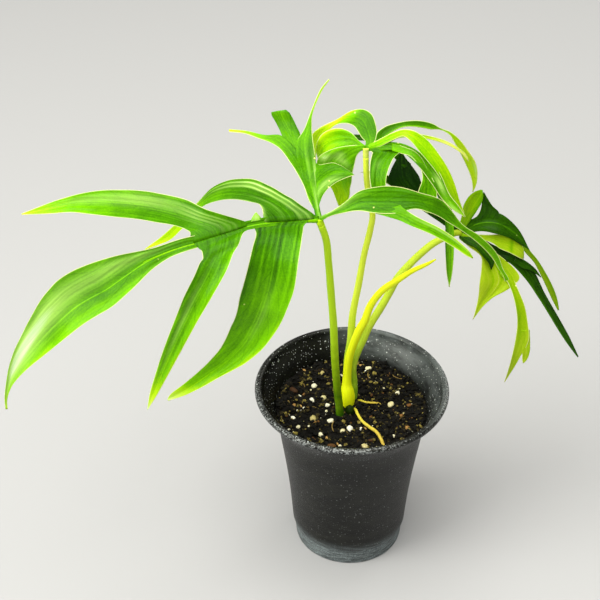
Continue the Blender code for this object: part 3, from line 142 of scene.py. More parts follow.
# A lobe's points run along its middle from its root to its tip: (x, y, z, half width), or
# (x, y, z, and the vector from the middle to one edge) where its edges were measured.
LEAF_A_LOBES = {
    "terminal": [
        (-21.6, -22.2, 260.1, 0, 1, 1.1), (-28.7, -23.8, 261.1, 0, 1.4, 1.5),
        (-61.2, -35, 264.1, -0.5, 1.6, 1.8), (-68.6, -37.2, 263.4, -1.2, 1.2, 1.6),
        (-82.9, -43, 261.1, -1.2, 1.5, 1.8), (-88.4, -45.7, 260.8, -1.5, 2, 2.4),
        (-94.1, -47.9, 260.5, -2.1, 1.8, 2.6), (-107.4, -51.1, 256.9, -4.8, 1.7, 2.1),
        (-114.7, -52.9, 254.5, -5.6, 2.5, 3.2), (-129.9, -58.2, 247.5, -7.1, 6, 6.6),
        (-137.8, -60.4, 243.1, -6.8, 7.5, 8.4), (-146.4, -61.4, 238.6, -6.5, 7.7, 9.4),
        (-154.6, -62, 233, -6.7, 7.2, 9.6), (-161.6, -62.7, 226.3, -5.6, 6.9, 10.1),
        (-174.9, -62.6, 210.2, -2.8, 4.3, 10.3), (-180.5, -62.4, 202.4, -2.3, 3.7, 8.7),
        (-189.3, -61.2, 188.9, -1, 1.4, 7.5), (-195.8, -60, 174.7, -0.4, 0.2, 4.8),
        (-199.3, -60, 160.7, -0.7, 0, 0.8), (-199.5, -60.2, 154.9, -0.8, 0.2, -0.2),
    ],
    "upper_long": [
        (-74.7, -41.1, 262.4, 14.1, 5.6, 1.7), (-76.1, -39.1, 264.8, 14.6, 5.2, 1.3),
        (-77.7, -38.2, 265.8, 13.3, 4.1, 1.6), (-81.8, -36.9, 266.8, 11, 2.4, 3),
        (-88.2, -34.1, 267.3, 8.7, 1.3, 4.3), (-100.7, -24.8, 265.9, 7.8, 1.8, 6.4),
        (-116, -13.7, 262.2, 7, 1.5, 7.5), (-124.8, -7.2, 259.2, 6.8, 1.5, 7.9),
        (-136.1, -0.1, 255.5, 5.9, 2.5, 7.1), (-149, 6.7, 251.6, 3.6, 3, 5.9),
        (-160.1, 11.5, 248.1, 2.5, 2, 5), (-171.9, 15.1, 243.4, 1.9, 1.8, 3.7),
        (-193.8, 19.7, 235, -0.2, 0.4, 0.2),
    ],
    "upper_arched": [
        (-36.7, -27.2, 262, 14.6, 4.8, -1.9), (-37.7, -25.9, 264, 14.2, 4.3, -2.3),
        (-39.4, -23, 264.7, 12.9, 2.5, -1.2), (-42.1, -19.2, 265.1, 10.7, -0.2, 1.2),
        (-46, -12.9, 264.2, 9, -1.9, 3.3), (-51.6, -5.1, 262.6, 8.5, -3.2, 5.9),
        (-56.8, 2.3, 260.1, 8.1, -2.7, 6.9), (-62.4, 10.4, 256.9, 6.7, -0.1, 6.7),
        (-69.4, 18.8, 252.1, 6, -1.3, 8.2), (-77, 26.4, 246.4, 4.7, -1.4, 8.5),
        (-85.1, 32.8, 238.9, 2.3, -0.8, 6.6), (-92.5, 37, 229, -0.6, 0.7, 2),
        (-99.7, 40.1, 218.3, -2.5, 1.6, 0.7), (-106.2, 42.2, 209.8, -3.1, 1.7, -0.3),
        (-115, 43.5, 200.1, -3.5, 1.6, -0.6), (-126.6, 43.5, 192.7, -0.3, 1.6, -1),
    ],
    "lower_narrow": [
        (-73.9, -40.8, 262.4, -14.9, -5.9, -1.6), (-73.2, -42.4, 260.7, -13.3, -5.8, -2),
        (-73.2, -44.9, 260.7, -11.6, -5, -2.8), (-73.6, -47.9, 260, -10.5, -4.1, -3.1),
        (-74.9, -50.7, 256.9, -9.4, -3.5, -1.8), (-77.4, -56.3, 253.5, -9.1, -1.4, -2.1),
        (-81.4, -60.9, 246.7, -9.4, -0.5, -3), (-85.5, -63.6, 239.8, -8.7, 0.4, -2.6),
        (-90.4, -65.2, 229.6, -7.4, 1.2, -1.9), (-104.7, -67.4, 196.9, -4.4, 0.6, 0.2),
        (-109.8, -66.9, 183.6, -2.7, 0.6, 1.7), (-114.5, -66.4, 170.7, -1.7, 0.7, 0.9),
        (-118.4, -65.4, 158.9, -0.3, 0.1, -0.3),
    ],
    "lower_wide": [
        (-41.4, -28.9, 262.3, -16, -5.3, 1.9), (-42.6, -30.7, 261.1, -13.9, -4.8, 1.5),
        (-43.2, -36.3, 259.3, -12.8, -2.8, 0.9), (-44.4, -42.1, 256.4, -12.9, -1.3, 0.9),
        (-46.1, -48.9, 250, -13.3, 0, 0), (-47.4, -51.8, 243.4, -13.8, 1, -0.7),
        (-49.8, -53.4, 232.5, -14.3, 1.9, -1.4), (-52.5, -54.9, 223, -13.5, 2, -1.2),
        (-57.4, -54.1, 209.3, -12.2, 2.8, 0.2), (-63.2, -54.8, 197.9, -10.1, 3.6, 0.9),
        (-70.2, -55.5, 189.2, -7.5, 3.3, 1.8), (-74.7, -55.7, 184.6, -7.4, 2.9, 0.7),
        (-82.8, -55.7, 177.5, -5.7, 2.1, 0.8), (-93.6, -56.5, 168.6, -4.9, 1.6, 0.1),
        (-102, -57.4, 163, -4, 0.8, -0.3), (-107.3, -57.6, 159, -0.4, 1, -0.5),
    ],
    "rear_hand": [
        (-21.5, -22.5, 260, 1.9, -0.3, -0.1), (-22.9, -16, 263.7, 1.7, 0, 0),
        (-26.3, 4, 268.4, 4.3, -0.2, -0.1), (-27.1, 9.7, 270.7, 4.6, -0.2, -0.1),
        (-28.7, 21.9, 273.6, 5.2, 0.3, 0.1), (-29.2, 29.8, 278.1, 4.6, 0.2, 0.2),
        (-27.3, 38.2, 282.4, 2.1, 0.5, 0.5), (-26.5, 40.9, 285.5, 1.3, 0.3, 0.3),
        (-21.9, 47.3, 296.7, 0.6, -0.2, -0.2), (-19.7, 48.9, 301, 0.6, -0.1, -0.3),
        (-15.4, 50.4, 306.6, 0.4, -0.1, -0.2),
    ],
    "rear_left_finger": [
        (-22.7, -19.1, 262, 0.8, -0.8, -0.3), (-24.4, -12.7, 264.2, 2.1, 0, 0),
        (-27.4, 1.7, 267, 2.9, 0.3, 0.1), (-31.6, 12.4, 271.1, 3.8, 0.5, 0.1),
        (-34.1, 18.3, 272.3, 4.1, 0.6, 0.1), (-36.8, 23.3, 273.9, 4, 0.7, 0.3),
        (-40.1, 27.3, 276, 3.6, 1.1, 0.6), (-46.5, 31.6, 278.7, 3.1, 2, 1.2),
        (-53.2, 32.5, 279.3, 1.8, 1.2, 0.6), (-63, 35.6, 280.6, 0.7, 0.9, 0.4),
        (-72.6, 36.7, 281.1, 0, 0.9, 0.4),
    ],
    "rear_blunt_finger": [
        (-27.2, 11.4, 270.5, 2.5, -1.4, -0.4), (-30, 18.9, 272.1, 3.7, -2, -0.4),
        (-33.1, 25, 274.3, 4.5, -1.5, -0.8), (-36.9, 33.2, 279.3, 5.7, -1.2, -0.6),
        (-38.2, 37.3, 281, 5.9, -1.1, -0.5), (-39.9, 40, 283.2, 6, -0.8, -0.9),
        (-42.7, 43.3, 287.9, 5.7, -0.3, -0.6), (-43.2, 44.1, 289.4, 4.6, 0, 0.1),
        (-42.6, 44.4, 290, 2.6, 0.1, 0.3),
    ],
    "rear_right_finger": [
        (-22.7, -2.2, 267.4, 1.1, -17.9, -5), (-22, 0.2, 268.4, 0.7, -15.2, -4),
        (-20.4, 2.4, 268.9, 0.6, -11.9, -3.2), (-18, 5, 269.4, 0.5, -9.7, -2.8),
        (-11.8, 8.7, 270.2, 0.7, -6.5, -2.1), (-8.6, 8.9, 270.4, 0.9, -4.8, -1.6),
        (-1.6, 7, 270, 0.1, -0.3, -0.1),
    ],
    "right_hand": [
        (-21, -22.5, 260, 0, -0.9, -1.1), (-15, -24.5, 265, -0.3, -0.5, -1.4),
        (-9, -26.5, 269.5, 0, -1.1, -2.2), (1.5, -29, 276.5, 0, -2.9, -4.8),
        (7.5, -31, 278, -0.3, -4, -5.5), (14, -32.5, 279, -0.6, -4.7, -5.8),
        (20, -33.5, 279.5, -0.8, -4.6, -5.5), (32, -33.5, 279, -1.3, -2.4, -3.5),
        (38, -33.5, 277, -1.3, -2.5, -3.5), (43.5, -32.5, 273.5, -1.3, -2.4, -3.3),
        (48.5, -33, 269, -1.1, -1.9, -2.6), (53.5, -33, 263.5, -1.2, -1.5, -0.8),
        (65.5, -30, 252, -1.5, -1.4, -0.6), (76.5, -27, 237.5, -1.7, -0.8, -0.3),
        (80, -26, 229.5, -1.5, -0.4, 0.6), (84, -25, 221, -1.2, -0.3, 0.6),
        (84, -25, 220, -0.6, -0.3, -0.3),
    ],
    "right_lower_finger": [
        (15, -36, 275.5, -6.6, 0.1, -2.8), (19.5, -39, 275, -4.5, -0.8, -2),
        (23.5, -40.5, 274, -2.7, -1.5, -1.7), (28.5, -42.5, 272, -1.9, -1.8, -1.6),
        (40.5, -44, 266.5, -1.9, -1.6, -1.3), (52.5, -44.5, 258, -1.7, -1.1, -0.9),
        (60, -45.5, 251.5, -0.6, -0.7, -0.5), (61.5, -45.5, 250, -0.2, -0.3, -0.1),
    ],
    "web_tooth": [
        (-55.8, -32.4, 265.5, 3.2, 1.2, -0.1), (-55.7, -31.1, 267.2, 2.2, 0.7, -0.2),
        (-55.7, -30.3, 268.6, 1, 0.1, -0.2), (-55.7, -30, 269.5, 0.3, 0.1, -0.1),
    ],
}
LEAF_B_LOBES = {
    "front": [
        (5, 18, 281, -0.6, -0.8, -1), (9, 18.5, 281.5, -2.2, -1.6, -2.1),
        (13.5, 18, 281.5, -5.5, -1.6, -2.1), (17.5, 16.5, 280, -8.8, -1, -1.4),
        (13.5, 8.5, 277, -6.4, -0.7, -0.9), (11.5, 1, 271.5, -4.7, -0.5, -0.7),
        (12, -4, 263, -3.1, -0.2, -0.2), (11.5, -6, 258, -0.7, 0, 0),
    ],
    "rear_arch": [
        (5.5, 18, 281, 1.5, -0.1, -0.1), (7.5, 20, 283, 2.5, -0.1, -0.1),
        (7, 24, 285.5, 4.3, 0.8, 1), (5.5, 28, 288.5, 5.2, 1.2, 1.6), (3.5, 32, 290.5, 5, 2.1, 2.8),
        (0.5, 34.5, 291, 4.1, 2.5, 3.3), (-3, 36.5, 290, 3, 2.3, 3.1),
        (-11, 40, 284.5, 0.7, 1.2, 1.5), (-19, 43, 276.5, -1.6, 1.5, 2),
        (-22, 44.5, 272, -2.2, 1.6, 2.1), (-23.5, 46, 266, -1.9, 1.3, 1.7),
        (-23, 47.5, 253.5, -0.2, 0, 0),
    ],
    "left_upper": [
        (5, 18, 281, 0, 0.7, 0.9), (2, 20, 282, -0.3, 1, 1.3), (-1.5, 23, 283.5, -1.1, 2.1, 2.8),
        (-6, 25.5, 283, -1.7, 3.2, 4.2), (-11, 28, 281, -2.3, 3.4, 4.5),
        (-16, 30, 277.5, -2.6, 3.1, 4.1), (-19.5, 31.5, 273, -1.9, 2.5, 3.3),
        (-21.5, 32.5, 268.5, -0.9, 1.6, 2.1), (-21.5, 33, 264.5, -0.3, 0.3, 0.5),
    ],
    "left": [
        (5, 18, 281, 0, 0.8, 1), (2.5, 18, 281, -0.1, 1, 1.3), (-1, 18.5, 279.5, -1.7, 1.5, 2),
        (-8.5, 20.5, 272.5, -7.5, 2.9, 3.8), (-11.5, 21.5, 267.5, -9.8, 2.9, 3.9),
        (-12, 21.5, 262, -9.9, 2.5, 3.3), (-11, 21, 256, -8, 1.8, 2.4),
        (-8.5, 20, 251, -5.3, 1.2, 1.6), (-8, 19.5, 246, -3.6, 0.5, 0.7),
        (-9, 19, 241.5, -0.9, 0.1, 0.1),
    ],
    "outer_arch": [
        (5.5, 18, 281, 0.3, -0.8, -1), (10, 19, 281.5, 1, -0.9, -1.2),
        (12.5, 20, 284, 2.2, -0.8, -1.1), (13.5, 21.5, 287, 2.2, -1, -1.3),
        (15.5, 22.5, 288.5, 1.7, -1.2, -1.6), (23.5, 25.5, 291, 1.1, -0.9, -1.2),
        (36, 29.5, 289.5, 0, -1.2, -1.6), (42, 31.5, 287, -0.6, -1.1, -1.4),
        (48, 33.5, 284, -0.3, -0.3, -0.4), (53, 34.5, 281, -0.3, -0.5, -0.6),
        (57.5, 35.5, 275.5, -1.1, -0.8, -1.1), (63, 37, 266.5, -2.3, -0.5, -0.7),
        (67.5, 38.5, 257.5, -2.6, -0.7, -1), (70, 39, 249, -1.9, -0.7, -0.9),
        (70.5, 39, 241.5, -1, -0.4, -0.5), (70, 39, 238, -0.3, 0, 0),
    ],
    "inner_arch": [
        (5.5, 18, 281, 0.3, -0.7, -0.9), (10, 18.5, 281.5, 0.3, -0.9, -1.2),
        (14.5, 19.5, 282.5, 0.6, -1, -1.3), (17, 20.5, 284.5, 0.8, -1.1, -1.5),
        (21.5, 22, 286, 0.7, -0.9, -1.2), (26.5, 23.5, 286, 0.3, -0.8, -1.1),
        (38, 27, 283, -0.4, -0.6, -0.8), (58.5, 31, 272, -0.2, -0.5, -0.7),
        (63, 31.5, 267.5, -0.4, -0.3, -0.5), (65, 31.5, 264, -0.2, -0.1, -0.1),
    ],
    "pale": [
        (5.5, 18, 281, 0, -0.7, -0.9), (12.5, 19, 283.5, 0.3, -1.2, -1.6),
        (20.5, 17.5, 289, 0.4, -1.2, -1.6), (26, 15, 292.5, 0, -1.2, -1.6),
        (30, 12.5, 292, -0.6, -1.8, -2.4), (34, 11, 289, -1.2, -2.4, -3.1),
        (44.5, 7, 277.5, -1.8, -2.3, -3), (53.5, 4.5, 261.5, -1.2, -2, -2.7),
        (57.5, 4, 252.5, -1.1, -0.7, -0.9), (61, 3.5, 247, -0.3, -0.1, -0.1),
    ],
    "long_hanging": [
        (5, 18, 281, 0.1, -0.8, -1), (12, 18, 281.5, 0, -1.3, -1.7),
        (19.5, 16.5, 283, -0.3, -1.4, -1.8), (25.5, 14.5, 283, -0.7, -1.3, -1.7),
        (30, 12, 281.5, -1.5, -1.4, -1.8), (34.5, 9, 279, -2, -1.4, -1.9),
        (43.5, 3.5, 270, -2.1, -2, -2.6), (50, -1, 260, -2.2, -0.7, -0.9),
        (54.5, -3, 255.5, -1.7, -0.8, -1), (61, -4.5, 249.5, -0.2, -0.1, -0.2),
    ],
    "low_hanging": [
        (43.5, 3, 268, -2.8, 1.3, 1.8), (48, 0, 260.5, -3.1, 0.3, 0.4),
        (51, -3, 252, -2.5, -0.2, -0.2), (53, -6.5, 232, -2.5, 0, 0), (54, -8, 212, -1.6, 0, 0),
        (54.5, -8, 203, -0.2, 0, 0),
    ],
    "short": [
        (19.5, 15.5, 283, 0, -1.3, -1.7), (25.5, 13, 282.5, -0.6, -1.2, -1.6),
        (31, 10.5, 281.5, -1.4, -0.8, -1.1), (35, 8, 278, -1.8, -0.5, -0.7),
        (38, 5, 273, -2.1, 0, 0), (39.5, 2.5, 268.5, -3.5, 0.2, 0.2),
        (39.5, 0.5, 263.5, -5.2, 0.3, 0.4), (39, -1, 259, -5.2, 0.3, 0.4),
        (39.5, -2.5, 250.5, -0.3, 0, 0),
    ],
}
LEAF_C_LOBES = {
    "rear_hand": [
        (65.5, 46, 204, 1.5, 1.3, 1.7), (58, 49, 210.5, 2.1, 1.8, 2.4),
        (49, 52.5, 217.5, 3.6, 2.2, 2.9), (33.5, 56.5, 230.5, 7.5, 1.6, 2.2),
        (30, 57.5, 236, 9.2, 1.1, 1.4), (29, 58, 242, 6.9, 0.5, 0.7),
        (28.5, 58.5, 251.5, 1.6, -0.2, -0.3), (28, 59, 254, 0.3, 0, 0),
    ],
    "rear_low_finger": [
        (32.5, 56.5, 229, 0.9, 1.6, 2.2), (24.5, 57.5, 232.5, 0.9, 1.5, 1.9),
        (10.5, 58.5, 239, 0.3, 0.9, 1.2), (4.5, 59, 239, 0, -0.2, -0.2),
    ],
    "rear_high_finger": [
        (32.5, 58, 244, 2.1, 0.7, 1), (21.5, 61, 254, 1.2, 1.1, 1.4),
        (13, 63.5, 258.5, 0.6, 0.9, 1.2), (-3, 66, 259.5, 0.3, 0.8, 1),
        (-9, 66.5, 260, 0.1, -0.1, -0.2),
    ],
    "upright_flap": [
        (65.5, 46, 206, 1.8, -0.4, -0.5), (68, 46, 213.5, 2.7, -0.5, -0.7),
        (71, 47, 223, 4.1, -1.1, -1.4), (73.5, 48, 227.5, 3.6, -1.3, -1.7),
        (75.5, 48.5, 231, 2.3, -0.8, -1), (76.5, 49, 233, 0.7, -0.1, -0.1),
    ],
    "upright_right": [
        (66.5, 46, 205.5, 2.1, -0.9, -1.2), (72, 46, 210.5, 3.6, -1.5, -2.1),
        (77.5, 46, 212, 4.5, -1.2, -1.6), (81.5, 46.5, 216, 5.4, -1.1, -1.4),
        (82.5, 47, 220.5, 5.3, -1.1, -1.4), (80.5, 47.5, 225, 3.2, -1.2, -1.6),
        (78, 48.5, 231.5, 0.2, -0.1, -0.1),
    ],
    "middle": [
        (65.5, 46, 203.5, 0.9, -1.1, -1.5), (72, 45.5, 209, 0.9, -2.2, -2.9),
        (79, 45, 212, 0, -3.2, -4.2), (85.5, 44, 212.5, -0.6, -3.8, -5.1),
        (96.5, 42, 207.5, -0.8, -2.7, -3.6), (100.5, 41, 204, -0.5, -2.2, -2.9),
        (107.5, 40, 195.5, 0.1, -0.1, -0.2),
    ],
    "rear_hanging": [
        (65.5, 46, 203.5, 0.3, -0.7, -1), (76, 48, 207, 0, -1.1, -1.5),
        (87.5, 51, 207.5, -0.3, -1.3, -1.7), (97, 53, 203.5, -0.9, -1.3, -1.7),
        (102, 54, 196, -1.5, -0.7, -1), (109, 54, 184.5, -1.5, -0.4, -0.5),
        (114.5, 54, 177.5, -1.2, -0.5, -0.6), (120.5, 54, 167, -1.6, -0.5, -0.6),
        (130, 54, 146.5, -1.4, -0.4, -0.5), (133, 54, 138.5, -0.5, -0.1, -0.1),
    ],
    "pale_tab": [
        (65.5, 45, 203.5, 0.3, -0.7, -1), (75.5, 43, 203, 0.6, -1, -1.3),
        (83, 41, 203, 0.8, -1.5, -1.9), (89, 40, 201.5, 0, -2.6, -3.4),
        (95, 39, 199.5, -0.3, -2.7, -3.6), (100, 38.5, 197, -0.8, -2.7, -3.6),
        (103, 38, 193.5, -0.6, -1.6, -2.2), (104, 38, 190.5, -0.3, -0.4, -0.5),
    ],
    "long_dark": [
        (65, 46, 202.5, -0.3, -0.9, -1.2), (74.5, 44, 200.5, -1.2, -1.5, -1.9),
        (82, 42, 196, -1.8, -1.5, -1.9), (89.5, 40.5, 192, -1.2, -2.1, -2.7),
        (96, 39, 190.5, -1.4, -1.7, -2.3), (101.5, 37.5, 187, -1.8, -1.9, -2.6),
        (106.5, 36, 182, -2, -2, -2.7), (116.5, 34, 166, -2, -0.9, -1.2),
        (137.5, 32, 130, -1.1, -0.8, -1), (144.5, 32, 118, -0.3, -0.2, -0.3),
    ],
    "dark_finger": [
        (99, 38, 190, -0.6, -1.2, -1.6), (104.5, 36.5, 187, -1.2, -1.3, -1.7),
        (109.5, 35.5, 184.5, -1.4, -0.5, -0.6), (115.5, 35, 178.5, -0.2, -0.1, -0.1),
    ],
    "short_dark": [
        (65.5, 45, 202.5, -0.6, -0.9, -1.2), (70, 42, 201, -1.2, -1.3, -1.7),
        (75, 39, 200, -1.1, -1.2, -1.6), (79, 37, 196.5, -1.4, -1.1, -1.5),
        (84.5, 34.5, 189, -1.5, -0.4, -0.5), (84.5, 34, 185, -0.3, -0.1, -0.1),
    ],
    "pale_broad": [
        (65.5, 45, 201.5, -0.6, -0.7, -1), (72.5, 42, 197.5, -1.2, -0.9, -1.2),
        (80.5, 39, 194, -2.6, -1.5, -1.9), (85, 37, 188.5, -6.7, -1.5, -1.9),
        (88, 35, 183.5, -10.1, -1.3, -1.7), (89.5, 32, 178, -12.4, -1.2, -1.6),
        (86, 29, 172, -9.1, -1, -1.3), (81.5, 26.5, 167.5, -5.3, -1.2, -1.6),
        (78, 24, 163.5, -2.8, -1, -1.3), (74, 20.5, 157, -0.2, -0.1, -0.1),
    ],
    "pale_long": [
        (91, 35, 184, -1.8, -1.5, -1.9), (95.5, 32, 180.5, -1.7, -1.2, -1.6),
        (98, 29, 176, -1.9, -0.6, -0.7), (103, 23, 163, -2.8, -0.6, -0.7),
        (104.5, 20.5, 154.5, -3.3, -0.2, -0.2), (105, 18, 144.5, -4.2, 0, 0),
        (101.5, 15.5, 130, -3, -0.7, -1), (96.5, 14.5, 112, -0.3, -0.1, -0.1),
    ],
    "pale_side_tip": [
        (106.5, 19, 150, -2.8, 0, 0), (107.5, 17.5, 142.5, -2.6, 0.2, 0.2),
        (108, 16, 135.5, -2.3, 0.2, 0.2), (107.5, 15.5, 129.5, -1.5, 0.2, 0.2),
        (107, 15, 127, -0.5, 0, 0),
    ],
}

